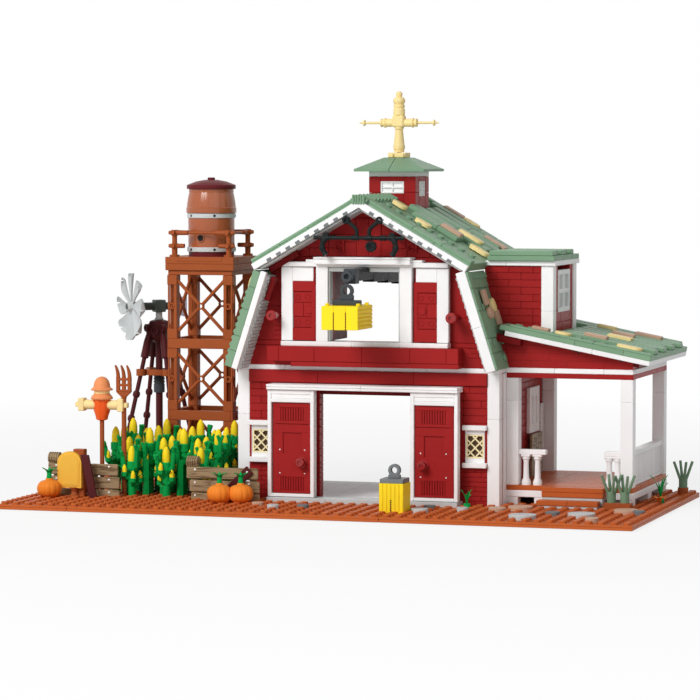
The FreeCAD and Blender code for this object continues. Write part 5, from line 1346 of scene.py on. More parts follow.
def build_porch_rails(deck, steps, post, floor):
    """Porch railings: a top rail on turned balusters each side of the steps,
    and a slatted rail at the end."""
    rails = span("porch_railings")
    rail_y = deck.y0 + post / 2
    rail = Shell(96)
    top_z = rails.z1
    h = top_z - 3.2
    z = floor
    block = 3
    for a, b in ((deck.x0 + 0.3 + post, steps.x0), (steps.x1, deck.x1 - post)):
        rail.box((a, b + (2 if b == steps.x0 else 0)), (rail_y - 2.6, rail_y + 2.6), (h, top_z))
        for k in (0.27, 0.75):
            x = a + (b - a) * k
            rail.turned([(3, z), (3, z + 1.8), (2.9, z + 2.4), (1.9, z + 4.6), (1.7, h - 5.4),
                         (1.9, h - 3.4), (2.5, h - 3), (2.5, h - 1.4)], upright(x, rail_y), 18)
            rail.box((x - block, x + block), (rail_y - 2.5, rail_y + 2.5), (h - 1.45, h - 0.02))
    slat_x = (deck.x1 - post / 2 - 2, deck.x1 - post / 2 + 2)
    slat_y = (deck.y0 + post, deck.y1 - post)
    rail.box(slat_x, slat_y, (floor, floor + 2))
    rail.box((slat_x[0] - 0.8, slat_x[1] + 0.8), slat_y, (h, top_z))
    slats = np.linspace(slat_y[0], slat_y[1], 23)
    wide = slats[1] - slats[0]
    rail.boxes([(slat_x[0] + 0.4, slat_x[1] - 0.4, a + 0.5, a + wide - 0.5, floor + 1.9, h + 0.1)
                for a in slats[:-1]], bevel=0.6)
    rail.box((slat_x[0] + 0.5, slat_x[0] + 1.2), within(*slat_y, 0.1), (floor + 1.9, h + 0.1))
    dress(rail, "porch_rails", "white", replaces=["porch_railings"])


def build_porch_fittings(floor):
    """Fittings on the wall by the porch: two windows, a toothed plate, and a board of planks."""
    face = span("side_walls").x1
    fittings = Shell(97)
    depth = (-face - 2.2, -face + 0.2)
    sash(fittings, (3, 21), depth, (44.6, 74.6), 2.4, RIGHT)
    sash(fittings, (46, 72), depth, (44.6, 74.6), 6, RIGHT, 2, 1)
    teeth = np.arange(33, 61, 2.8)
    fittings.box((79, 86), (-face - 1.6, -face + 0.2), (32, 62), RIGHT)
    fittings.boxes([(77.8, 79.2, -face - 1.5, -face + 0.1, a, a + 1.4) for a in teeth], RIGHT)
    dress(fittings, "porch_wall_fittings", "white")
    planks = Shell(98)
    lean = Place((face, 0, floor), (0, 1, 0), (-1, 0, 0), (0, 0, 1))
    planks.boxes([(45 + 5.6 * k, 50.5 + 5.6 * k, -4.2, -2.4, 0, 28) for k in range(5)], lean, 0.4)
    dress(planks, "porch_wall_planks", "board")


def build_porch():
    """Porch: plinth, plank deck, steps, posts, beams and gables, then rails, fittings and roof."""
    size = sizes()
    deck = span("porch_deck")
    steps = span("porch_steps")
    wall = span("corner_posts")
    ground = size.plate
    post = size.pitch
    floor = deck.z1 + size.plate
    brown = Shell(91)
    brown.box(deck.x, deck.y, (deck.z0, deck.z1 - 0.05))
    for y0, y1 in bond(brown.draw, deck.y0, deck.y1, (24, 32), 24):
        for x0, x1 in bond(brown.draw, deck.x0 + 0.3, deck.x1, (32, 48), 24):
            brown.box(within(x0, x1), within(y0, y1), (deck.z1, floor))
    dress(brown, "deck_planks", "orange", replaces=["porch_deck"])
    tread = Shell(92)
    riser = Shell(93)
    mid = steps.cx
    depth = (steps.y1 - steps.y0) / 2
    low = (ground + 1.8, ground + 5)
    tread.boxes([(a + 0.05, b - 0.05, steps.y0, steps.y0 + depth, *low)
                 for a, b in ((steps.x0, mid), (mid, steps.x1))])
    tread.boxes([(steps.x0 + 1.6, steps.x1 + 1.6, steps.y0 + depth, steps.y1 - 0.05, z + 0.05, z + 3.15)
                 for z in (floor - 6.4, floor - 3.2)])
    riser.box(within(*steps.x, 0.6), (steps.y0 + 0.6, steps.y1 - 0.1), (ground, low[0] - 0.02))
    riser.box((steps.x0 + 1.8, steps.x1 + 1.2), (steps.y0 + depth + 0.5, steps.y1 - 0.1),
              (low[0], floor - 6.42))
    dress(tread, "step_treads", "orange", replaces=["porch_steps"])
    dress(riser, "step_risers", "pale_grey")

    white = Shell(94)
    arch = deck.z0 - 1.2
    for x in np.linspace(deck.x0, deck.x1 - post, 5):
        white.box(within(x, x + post, 0.02), (deck.y0, deck.y0 + post), (ground, arch))
    for y in np.linspace(deck.y0, deck.y1 - post, 3)[1:]:
        for x in (deck.x0, deck.x1 - post):
            white.box((x, x + post), (y, y + post), (ground, arch))
    white.box((deck.x0, deck.x1 + 0.3), (deck.y0 - 0.3, deck.y0 + post), (arch + 0.02, deck.z1 - 0.1))
    white.box((deck.x1 - post, deck.x1 + 0.3), (deck.y0 + post + 0.02, deck.y1),
              (arch + 0.02, deck.z1 - 0.1))
    white.box((deck.x0 + 0.02, deck.x0 + post), within(deck.y0 + post, deck.y1, 0.02),
              within(arch, deck.z0, 0.02))
    beam = span("porch_gable").z0
    spots = ((deck.x0 + 0.3, deck.y0), (deck.x1 - post, deck.y0), (deck.x1 - post, deck.y1 - post),
             (deck.x0 + 0.3, deck.y1 - post))
    for x, y in spots:
        cuts = (floor, floor + 54.4, beam)
        white.boxes([(x, x + post, y, y + post, a + 0.02, b - 0.06) for a, b in pairs(cuts)])
    plate = (wall.z1 + 0.02, wall.z1 + size.plate)
    ring = ((deck.x, (deck.y0, deck.y0 + post)),
            ((deck.x1 - post, deck.x1 - 0.02), within(deck.y0 + post, deck.y1 - post, 0.02)),
            (deck.x, (deck.y1 - post, deck.y1)))
    for x, y in ring:
        if x[1] - x[0] > post:
            white.boxes([(a + 0.05, b - 0.05, y[0] - 0.3, y[1], *plate)
                         for a, b in bond(white.draw, *x, (32, 40), 32)])
        else:
            white.box((x[0], x[1] + 0.3), y, plate)
    white.box((wall.x1 + 0.02, wall.x1 + 0.6), (wall.y0 + post + 0.2, deck.y0 - 0.4),
              (ground, wall.z1 - 0.1))
    dress(white, "porch_posts", "white", replaces=["porch_frame"])

    red = Shell(95)
    for x, y in ring:
        red.box(x, y, (beam, wall.z1))
    shed = span("porch_roof")
    fall = 18.4 / (shed.x1 - deck.x0)
    top = 118.7
    under = 6.4

    def end_at(z):
        """The gable's end at a height, where it meets the underside of the roof."""
        return min(deck.x1, deck.x0 + (top - under - z) / fall)

    low = wall.z1 + size.plate
    row = 4.8
    rows = 4
    lean = 7
    for y in ((deck.y0, deck.y0 + post), (deck.y1 - post, deck.y1)):
        for k in range(rows):
            z = (low + k * row + 0.05, low + (k + 1) * row - 0.05)
            for a, b in bond(red.draw, deck.x0 + 0.5, deck.x1, (24, 32), 16 + 12 * (k % 2)):
                stops = [min(b - 0.05, end_at(level)) for level in z]
                if stops[0] - a > 1 and stops[1] - a > 0.3:
                    red.slab([(a + 0.05, z[0]), (stops[0], z[0]), (stops[1], z[1]), (a + 0.05, z[1])], y)
                elif stops[0] - a > 1:
                    red.slab([(a + 0.05, z[0]), (stops[0], z[0]),
                              (a + 0.05, top - under - fall * (a - deck.x0))], y)
        red.slab([(deck.x0 + 0.4, low + 0.1), (deck.x0 + 0.4, low + rows * row),
                  (deck.x0 - lean, low + rows * row)],
                 within(*y, 0.1))
    dress(red, "porch_beams", "red", replaces=["porch_gable"])
    build_porch_rails(deck, steps, post, floor)
    build_porch_fittings(floor)
    build_shed_roof(shed, deck, fall, top)


def build_shed_roof(shed, deck, fall, top):
    """Shed roof: plates with ribs down the slope, studs, coloured tiles, and a white edge below."""
    shells = {finish: Shell(110 + i) for i, finish in enumerate(("green", "sand", "rose"))}
    green = shells["green"]
    place = slope(1, deck.x0, top, fall)
    run = math.hypot(1, fall)
    reach = (shed.x1 - deck.x0) * run
    dormer = span("dormer_walls")
    clear = (dormer.x1 - deck.x0) * run
    for a, b in bond(green.draw, shed.y0, shed.y1, (24, 32), 16):
        for u, v in bond(green.draw, -2, reach, (32, 48), 50):
            green.box(within(u, v), within(a, b), (-3.2, 0), place)
    for u, v in ((4, 60), (60, reach)):
        green.box(within(u, v, 0.06), (shed.y0, shed.y0 + 6), (-0.1, 1.4), place, 0.5)
    for index, y in enumerate(np.arange(shed.y0 + 16, shed.y1 - 8, 13)):
        start = clear + 6 if dormer.y0 - 10 < y < dormer.y1 else 4
        green.box((start, reach - 1 - 3 * (index % 2)), (y, y + 10), (-0.1, 2.6), place, 0.5)
    green.studs([(u, shed.y0 + 11, -0.1) for u in np.arange(8, reach - 4, 8)], place)
    lay_tiles(shells, place, 1, SHED_TILES)
    dress(green, "shed_plates", "green", replaces=["porch_roof"])
    dress(shells["sand"], "shed_tiles_sand", "sand")
    dress(shells["rose"], "shed_tiles_rose", "rose")
    white = Shell(113)
    for u, v in ((2, 60), (60, reach)):
        white.box(within(u, v, 0.04), shed.y, (-6.3, -3.22), place)
    dress(white, "shed_edge", "white")
    # The bars under the shed roof take the shaded red: painted shade.
    red = Shell(114)
    red.box((-5, 13), (shed.y0 + 1, shed.y0 + 7.6), (-11, -6.4), place)
    red.box((reach - 12, reach - 8), (deck.y0 + 0.5, deck.y1 - 2), (-9.4, -6.4), place)
    dress(red, "shed_bars", "deep_red")


def build_barrel(cx, cy, deck):
    """Barrel: staves with grooves between two bands, a lipped belly, a bung, a foot and a knobbed cover."""
    hoops = span("barrel_hoops")
    lid = span("barrel_lid")
    at = upright(cx, cy)
    r = (hoops.x1 - hoops.x0) / 2
    lip = hoops.z1
    cask = Shell(123)
    cask.turned([(r - 0.7, hoops.z0 + 1), (r - 0.7, lip)], at, 48)
    cask.turned([(r - 0.4, lip + 0.02), (r + 0.6, lip + 0.3), (r + 0.6, lip + 3.6), (r + 0.1, lip + 4)],
                at, 48)
    t = np.linspace(0, 1, 6)
    staves = np.stack([r + 0.2 - 1.8 * t ** 1.5, lip + 3.8 + (lid.z0 - lip - 5.2) * t], -1)
    cask.turned(staves, at, 96, flute=0.016, flutes=16)
    cask.turned([(r - 1.2, lid.z0 - 2), (r - 1.2, lid.z0 - 0.2), (r - 1.6, lid.z0)], at, 48)
    cask.cone_ring(2.8, 2, 1, facing_front(cx - 2, cy - r + 1, hoops.z0 + 9.2))
    dress(cask, "barrel_staves", "oak", replaces=["water_barrel"])
    bands = Shell(124)
    # Painted shade: black discs stand for the dark inside of the slots in the bands and of the bung's hole.
    slots = Shell(126)
    for z in (hoops.z0, lip - 3.2):
        bands.cone_ring(r, r - 1.2, 3.1, upright(cx, cy, z), 48)
        for turn in (-2.2, -1.1, 0.3, 1.7):
            spot = (cx + (r - 0.2) * math.cos(turn), cy + (r - 0.2) * math.sin(turn), z + 1.6)
            away = (math.cos(turn), math.sin(turn), 0)
            slots.turned([(0.9, -0.3), (0.9, 0.35)], Place(spot, (-away[1], away[0], 0), (0, 0, 1), away), 8)
    # The bung's hole is a black disc: painted shade.
    slots.turned([(2, 0), (2, 0.5)], facing_front(cx - 2, cy - r + 1, hoops.z0 + 9.2), 18)
    dress(bands, "barrel_bands", "pale_grey", replaces=["barrel_hoops"])
    dress(slots, "barrel_hole_shade", "black")
    cover = Shell(125)
    cover.turned([(r - 1, deck), (r - 1, hoops.z0 + 0.6)], at, 40)
    rim = lid.z0 + 2.8
    cover.turned([(r, lid.z0), (r + 0.2, lid.z0 + 0.3), (r + 0.2, rim - 0.3), (r - 0.2, rim),
                  (r * 0.62, rim + 2.3), (r * 0.24, rim + 3.4)], at, 48)
    cover.turned([(2.5, rim + 3), (2.5, lid.z1 - 0.3), (2.2, lid.z1)], at, 18)
    dress(cover, "barrel_cover", "maroon", replaces=["barrel_lid"])


def build_tower():
    """Water tower: channelled legs, a beam and crossed rods on each tier, a guarded deck, a barrel."""
    s = span("tower_girders")
    platform = span("tower_platform")
    leg = 7
    end = 6.6
    beam = 6.5
    cx = s.cx
    cy = s.cy
    half = (s.x1 - s.x0) / 2
    rise = (s.z1 - s.z0) / 3
    floors = [s.z0 + rise * k - 1.1 for k in (1, 2)]
    tiers = ((s.z0, floors[0]), (floors[0] + beam, floors[1]), (floors[1] + beam, s.z1))
    corners = [(x, i, y, j) for x, i in ((s.x0, 1), (s.x1, -1)) for y, j in ((s.y0, 1), (s.y1, -1))]
    sides = [Place((cx, cy, 0), turn.axes[0], turn.axes[1], turn.axes[2])
             for turn in (FRONT, RIGHT, BACK, LEFT)]
    brown = Shell(121)
    for low, high in tiers:
        for x, i, y, j in corners:
            for z in ((low + 0.04, low + end), (high - end, high - 0.04)):
                brown.box(inward(x, i, 0, leg), inward(y, j, 0, leg), z)
            hollow = (low + end - 0.3, high - end + 0.3)
            for a, b in (((0.3, 1.5), (0.3, 1.5)), ((4.5, 6.7), (0.3, 3.6)), ((0.3, 3.6), (4.5, 6.7)),
                         ((3.4, 6.6), (3.4, 6.6))):
                brown.box(inward(x, i, *a), inward(y, j, *b), hollow)
        top = high - 3.4
        foot = low + 4.4
        mid = (top + foot) / 2
        for place in sides:
            for i, j in QUARTERS:
                corner = np.array([i * (half - leg + 0.6), 0, j * (top - foot) / 2])
                centre = np.array([0, 2.2 - half, mid])
                inner = corner * 1.7 / np.linalg.norm(corner)
                brown.tube(place([centre + inner, centre + corner]), 1.2, 10)
            brown.cone_ring(2.3, 1.3, 2.6, place.out((0, 3.5 - half, mid)))
            for x in (3 - half, half - 3):
                brown.cone_ring(2.2, 1.2, 3.4, place.out((x, 3.4 - half, mid)))
    for low in floors:
        for x, i, y, j in corners:
            brown.box(inward(x, i, 0.05, leg - 0.05), inward(y, j, 0.05, leg - 0.05),
                      within(low, low + beam))
        for place in sides[::2]:
            brown.box((1.6 - half, half - 1.6), (-half - 0.3, 3.6 - half), (low, low + beam), place)
        for place in sides[1::2]:
            brown.box((leg - half, half - leg), (-half - 0.3, 3.6 - half),
                      within(low, low + beam, 0.02), place)
    dress(brown, "tower_frame", "tower", replaces=["tower_girders"])

    wood = Shell(122)
    deck = s.z1 + 12
    for inset, z in ((1.5, (s.z1 + 0.02, s.z1 + 3)), (0.05, (s.z1 + 3.05, s.z1 + 7.4)),
                     (0, (s.z1 + 7.45, deck))):
        wood.box((platform.x0 + inset, platform.x1 - inset), (platform.y0 + inset, platform.y1 - inset), z)
    for place in sides:
        wood.box((-16, 16), (-half - 1.25, -half + 2), (deck - 3, deck + 0.15), place)
    inset = half - 4
    top = platform.z1
    for i, j in QUARTERS:
        wood.turned([(3.4, deck), (3.4, deck + 1.4), (1.9, deck + 1.5), (1.9, deck + 5.6),
                     (2.5, deck + 5.8), (2.5, deck + 8.8), (1.7, deck + 9), (1.7, top - 4),
                     (2.2, top - 3.8), (2.2, top)],
                    upright(cx + i * inset, cy + j * inset), 16)
    for place in sides:
        for z, stub, thick in ((top - 1.9, 9.6, 1.75), (deck + 7.3, 7, 1.6)):
            for i in (-1, 1):
                wood.tube(place([(i * inset, -inset, z), (i * (inset - stub), -inset, z)]),
                          [thick, thick * 0.92], 14)
                wood.tube(place([(i * (inset + 1.5), -inset, z), (i * (inset + 4), -inset, z)]),
                          [1.6, 1.2], 12)
        wood.tube(place([(-inset, -inset, top - 1.9), (inset, -inset, top - 1.9)]), 0.9, 12)
    dress(wood, "tower_deck_and_guard", "tower", replaces=["tower_platform"])
    build_barrel(cx, cy, deck)


def build_mill_head(cx, cy, hub):
    """Windmill's head: a block with its axle, a neck, a tail vane, and the rotor on its own joint."""
    at = upright(cx, cy)
    axis = next(joint for joint in frame["joints"] if joint["name"] == "rotor_spin")
    out = np.array(axis["axis"], float)
    out /= np.linalg.norm(out)
    seat = np.array(axis["pos_m"], float) / MM
    up = np.array([0, 0, 1])
    across = np.cross(up, out)
    axle = np.array([cx, cy, seat[2]])
    own = Place(axle, across, up, out)
    head = Shell(134)
    head.box((-3.8, 3.8), (-4, 4.4), (-3.8, 3.8), own, 0.5)
    head.turned([(2.7, 3.6), (2.7, 11), (2.1, 11.2), (2.1, 15)], own, 18)
    head.turned([(1.9, 14), (1.9, 24)], own, 14)
    head.turned([(2.6, -11), (2.6, -3.6)], own, 16)
    dress(head, "mill_head_block", "slate", "mill_top", ["mill_head"])
    neck = Shell(137)
    neck.turned([(2.9, hub + 3.6), (2.9, hub + 5.2), (2.3, hub + 5.4), (2.3, axle[2] - 3.9)], at, 18)
    dress(neck, "mill_neck", "pale_grey", "mill_top")
    tail = Shell(135)
    tail.slab([(-20.4, -8), (-10, -5), (-10, 2), (-20.4, 8)], (-0.8, 0.8), Place(axle, out, across, up))
    dress(tail, "mill_tail_vane", "lilac", "mill_top")
    blades = Shell(136)
    wheel = Place(seat, across, up, out)
    blades.turned([(3.4, -3.6), (3.4, 2.4), (2.8, 3.6), (2.2, 3.7), (2.1, -3.6)], wheel, 20, True)
    count = 8
    for k in range(count):
        blade(blades, wheel, 2 * math.pi * (k + 0.06) / count, 22.9)
    dress(blades, "rotor_blades", "pale_grey", "rotor", ["mill_rotor"])


def build_windmill():
    """Windmill: beaded legs round a pole, a clip ring, a hub, and the turning head."""
    stand = span("mill_stand")
    cx = stand.cx
    cy = stand.cy
    ground = stand.z0
    hub = stand.z1 - 11.2
    spread = (stand.x1 - stand.x0) / 2 - 0.3
    at = upright(cx, cy)
    dark = Shell(131)
    dark.turned([(2.4, ground), (2.4, hub)], at, 18)
    beads = np.array([0.2, 0.42, 0.58])
    t = np.concatenate([[0], *[b + np.array([-0.022, -0.015, 0, 0.015, 0.022]) for b in beads],
                        [0.82, 0.825, 0.93, 1]])
    r = np.concatenate([[1.5], *[[1.5, 2.3, 2.6, 2.3, 1.5] for b in beads], [1.5, 2.8, 2.8, 2]])
    for i, j in QUARTERS:
        foot = np.array([cx + i * spread, cy + j * spread, ground])
        head = np.array([cx + i * 4.8, cy + j * 4.8, hub - 4])
        dark.tube(foot + (head - foot) * t[:, None], r, 12)
        dark.cone_ring(2.7, 1.3, 3, Place((cx + i * 7.4, cy + j * 7.4, hub - 1.6),
                                          (i * 0.707, -i * 0.707, 0), (0, 0, 1),
                                          (-i * 0.707, -i * 0.707, 0)), 14)
    dark.turned([(3.6, hub - 12), (6.4, hub - 10), (8, hub - 7), (8, hub + 0.6), (6.6, hub + 3),
                 (3.4, hub + 4)],
                at, 8)
    for place in (facing_front(cx, cy - 7.2, hub - 3.4), along_x(cx - 7.2, cy, hub - 3.4, -1)):
        dark.turned([(3, 0), (3, 1.4), (2, 1.5), (1.8, 0.6)], place, 18)
    dress(dark, "mill_legs", "umber", replaces=["mill_stand"])
    collar = Shell(132)
    low = hub - 46.5
    ribs = [(3.2, low), (3.8, low + 0.2), (3.8, low + 6)]
    ribs += [(r, low + 6.2 + dz + 2.1 * k) for k in range(3)
             for r, dz in ((3.4, 0), (3.4, 0.5), (3.9, 0.7), (3.9, 1.9))]
    collar.turned(ribs, at, 20)
    dress(collar, "mill_collar", "dark_grey")
    clip = Shell(133)
    clip.cone_ring(10.6, 7.6, 4, upright(cx, cy, hub - 34.2), 28)
    for k in range(4):
        a = math.pi / 4 + k * math.pi / 2
        clip.cone_ring(3.4, 1.9, 4.6, upright(cx + 13.6 * math.cos(a), cy + 13.6 * math.sin(a),
                                              hub - 34.5), 14)
        clip.tube([(cx + 2.5 * math.cos(a), cy + 2.5 * math.sin(a), hub - 32.2),
                   (cx + 12 * math.cos(a), cy + 12 * math.sin(a), hub - 32.2)], 1.6)
    dress(clip, "mill_clip_ring", "tower")
    build_mill_head(cx, cy, hub)


def blade(shell, wheel, turn, reach):
    """A rotor blade: a spoon that widens from its neck to a round end, pitched, cupped and swept."""
    rows = 13
    columns = 7
    t = np.linspace(0, 1, rows)[:, None]
    c = np.linspace(-1, 1, columns)[None]
    radius = 2.4 + (reach - 2.4) * (1 - (1 - t) ** 1.5)
    half = 1.1 + 5.4 * np.clip(t * 1.5 - 0.1, 0, 1) ** 0.8
    half = half * np.sqrt(np.clip(1 - np.clip((t - 0.6) / 0.4, 0, 1) ** 2.2, 0.01, 1))
    pitch = 0.16
    cup = 2.5 * t * (c ** 2 - 0.5)
    flat = c * half + 5 * t ** 2 - 2 * t
    along = flat * math.cos(pitch) - cup * math.sin(pitch)
    rise = flat * math.sin(pitch) + cup * math.cos(pitch)
    thick = 0.5
    front = np.stack([along, radius + 0 * along, rise + thick], -1)
    back = np.stack([along, radius + 0 * along, rise - thick], -1)
    loop = np.concatenate([front, back[:, ::-1]], 1)
    spin = np.array([[math.cos(turn), math.sin(turn), 0], [-math.sin(turn), math.cos(turn), 0], [0, 0, 1]])
    width = 2 * columns
    shell.add(loop.reshape(1, -1, 3) @ spin, flipped(capped(rows, width)), wheel)


def leaf(shell, base, direction, lift, long, wide):
    """A strap leaf: a narrow strip that rises, bends over and tapers to a point."""
    t = np.linspace(0, 1, 5)[:, None]
    side = np.array([-direction[1], direction[0], 0])
    out = np.array([direction[0], direction[1], 0])
    up = np.array([0, 0, 1])
    spine = base + long * (out * (0.35 * t + 0.65 * t ** 2) * 0.8 + up * (lift * (1.5 * t - 0.5 * t ** 2)))
    half = wide * (0.5 + 0.5 * np.sin(t * math.pi * 0.9)) * np.sqrt(1.02 - t)
    thick = 0.5 * up + out * 0.3
    points = np.stack([spine + side * half, spine + thick, spine - side * half, spine - thick], 1)
    shell.add(points.reshape(1, -1, 3), capped(5, 4))


def corn_plant(green, yellow, draw, x, y, low, tall):
    """A corn plant: a ringed stalk with a cob, three forked arms, four shoots with cobs, and leaves."""
    top = upright(x, y, low + tall)
    green.turned([(2.6, -tall), (2.6, -9), (3.2, -8.8), (3.2, -7.4), (2.7, -7.2), (2.7, -5.4), (3.4, -5.2),
                  (3.4, -0.6), (2.9, 0)], top, 12)
    yellow.turned([(2.5, -0.5), (2.8, 1), (2.7, 4.4), (2.2, 7.4), (1.2, 9.4), (0.4, 10.2)], top, 12)
    first = draw.random() * math.pi
    for k in range(3):
        a = first + math.pi * k / 1.5 + 0.4 * draw.random()
        reach = np.array([math.cos(a), math.sin(a)]) * (4.8 + draw.random())
        z = low + tall * (0.35 + 0.15 * k)
        tip = np.array([x + reach[0] * 1.25, y + reach[1] * 1.25, z + 13 + 3 * draw.random()])
        green.tube([(x, y, z), (x + reach[0], y + reach[1], z + 5), tip], [1.6, 1.7, 1.5], 8)
        for side in (-1, 1):
            fork = 0.16 * reach + side * 0.36 * np.array([-reach[1], reach[0]])
            green.tube([tip - (0, 0, 0.6), tip + (*fork, 3.4)], [1.4, 1.1], 8)
    for k in range(4):
        a = first + 0.8 + math.pi * k / 2 + 0.5 * draw.random()
        spot = (x + 5.2 * math.cos(a), y + 5.2 * math.sin(a))
        z = low + tall * (0.42 + 0.34 * draw.random())
        green.tube([(x, y, z - 5), (*spot, z - 1.5)], 1.4, 8)
        green.turned([(1.4, -2.4), (2.1, -1.6), (2.1, 0.6), (1.6, 0.9)], upright(*spot, z), 8)
        yellow.turned([(1.5, 0.6), (1.6, 2.4), (1.2, 4.6), (0.4, 5.8)], upright(*spot, z), 8)
    for k in range(7):
        a = first + 2.5 * k
        z = low + tall * (0.08 + 0.08 * k)
        leaf(green, np.array([x, y, z]), (math.cos(a), math.sin(a)), 0.9, 9 + 4 * draw.random(), 2.9)


def build_garden():
    """Garden: corn plants, board fences, then the scarecrow, sign, pumpkins and plants."""
    stalks = span("corn_stalks")
    ground = stalks.z0
    green = Shell(141)
    yellow = Shell(142)
    draw = np.random.default_rng(143)
    first = stalks.x0 + 3.1
    front = stalks.y0 + 3.1
    for column in range(4):
        for row, tall in ((1, 34.6), (2, 34.6), (3, 37.8)):
            corn_plant(green, yellow, draw, first + 24 * column, front + 16 * row, ground, tall)
            if column < 3:
                corn_plant(green, yellow, draw, first + 12 + 24 * column, front + 16 * row - 6,
                           ground, tall - 6)
        if column < 3:
            x = first + 17.6 + 24 * column
            corn_plant(green, yellow, draw, x, front, ground, 23.6)
            green.turned([(2.2, ground), (2.2, ground + 24), (1.6, ground + 25)],
                         upright(x + 8, front + 4), 4)
    dress(green, "corn_plants", "leaf", replaces=["corn_stalks"])
    dress(yellow, "corn_ears", "hay", replaces=["corn_cobs"])

    fence = span("fence")
    boards = Shell(144)
    dark = Shell(145)
    nails = Shell(146)
    y = (fence.y0, fence.y0 + 1.6)
    left_run = (fence.x0, fence.x0 + 50)
    right_run = (fence.x1 - 50, fence.x1)
    for x0, x1 in (left_run, right_run):
        for z, shift in ((ground + 0.6, 3), (ground + 5.9, 2), (ground + 14.4, -1)):
            tall = 4.6 if z < ground + 2 else 7.6
            boards.box((x0 + max(shift, 0), x1 + min(shift, 0)), y, (z, z + tall), bevel=0.5)
            for x in (x0 + 6, x1 - 7):
                nails.turned([(0.7, 0), (0.7, 0.3), (0.4, 0.5)], facing_front(x, y[0], z + tall - 1.6), 10)
        for x in np.linspace(x0 + 3.2, x1 - 7, 4):
            boards.box((x, x + 3.8), (y[1], fence.y1), (ground, fence.z1 - 0.4), bevel=0.4)
        rolls = np.arange(0, 8, 1.6)
        boards.turned([(r, d + k) for d in rolls for r, k in ((3.4, 0), (4, 0.4), (4, 1.1), (3.4, 1.5))],
                      along_x(x0 - 0.5, y[1] + 2.4, fence.z1 + 2.6), 12)
    for x, low, lean, up in ((left_run[1] - 21.6, 0.2, -6.5, 29), (right_run[0] + 26, 3.8, 18, 17.6)):
        axis = np.array([lean, 0, up])
        long = np.linalg.norm(axis)
        place = Place((x, y[0] - 0.1, ground + low), np.cross((0, 1, 0), axis / long),
                      (0, 1, 0), axis / long)
        dark.box((-3.2, 3.2), (-1.6, 0), (0, long), place, 0.4)
        for d in (2.4, long - 2.4):
            nails.turned([(0.7, 0), (0.7, 0.25), (0.4, 0.4)], place.out((0, -1.6, d)), 10)
    dress(boards, "fence_boards", "board", replaces=["fence"])
    dress(dark, "fence_planks", "umber")
    dress(nails, "fence_nails", "white")
    build_scarecrow(ground)
    build_sign(ground)
    build_plants(ground)


def build_scarecrow(ground):
    """Scarecrow: pole, ragged coat, straw arms with cuffs, head and brimmed hat,
    and a hay fork beside it."""
    s = span("scarecrow")
    x = s.cx
    y = s.cy
    at = upright(x, y)
    z = s.z1 - 27.6
    coat = Shell(151)
    coat.turned([(2.6, z - 1.2), (3.8, z - 0.6), (4.2, z + 1.6), (5.4, z + 5), (5.6, z + 12.4)], at, 20,
                flute=0.1, flutes=5)
    dress(coat, "scarecrow_coat", "coral", replaces=["scarecrow"])
    hat = Shell(152)
    hat.turned([(5.2, z + 12), (7.2, z + 12.9), (7.3, z + 13.8), (6, z + 15.4), (4.9, z + 16.8)], at, 28)
    t = np.linspace(0, 1.45, 7)
    dome = np.stack([5.4 * np.cos(t), z + 21.4 + 6.2 * np.sin(t)], -1)
    hat.turned(np.concatenate([[(7, z + 18.5), (7.3, z + 18.8), (7.1, z + 19.5), (5.7, z + 20.4)], dome]),
               at, 28)
    dress(hat, "scarecrow_hat", "peach")
    straw = Shell(153)
    straw.turned([(4.8, z + 16), (5.2, z + 16.6), (5.2, z + 18.6), (4.8, z + 19.2)], at, 24)
    for side in (-1, 1):
        place = along_x(x, y, z + 9, side)
        straw.turned([(2.7, 4), (3.2, 6), (3.2, 11.4), (2.7, 12)], place, 18)
        straw.box((-3.2, 3.2), (-4.2, 4.2), (11.8, 15.8), place, 0.4)
        straw.box((-1.7, 1.7), (-1.7, 1.7), (15.6, 18.4), place, 0.4)
    dress(straw, "scarecrow_straw", "sand")
    pole = Shell(154)
    pole.turned([(1.5, ground), (1.5, z)], at, 14)
    fx = x + 15.5
    pole.turned([(1.6, ground), (1.6, ground + 64), (2, ground + 66)], upright(fx, y), 12)
    head = ground + 66
    pole.slab([(fx - 1.6, head - 0.4), (fx + 1.6, head - 0.4), (fx + 5.2, head + 3), (fx - 5.2, head + 3)],
              (y - 1.1, y + 1.1))
    for low in (head + 2.9, head + 6.6, head + 10.4):
        pole.box((fx - 5.2, fx + 5.2), (y - 1, y + 1), (low, low + 1.6))
    t = np.linspace(0, 1, 7)
    for k in (-1, 0, 1):
        pole.box((fx + k * 4 - 1.2, fx + k * 4 + 1.2), (y - 1.1, y + 1.1), (head + 3, head + 13))
        prong = np.stack([fx + k * 4 - 1.3 * t ** 2, y - 1.6 * t ** 2, head + 12.6 + 7.8 * t], -1)
        pole.tube(prong, 1.3 - 0.7 * t ** 2, 10)
    dress(pole, "scarecrow_pole_and_fork", "tower")


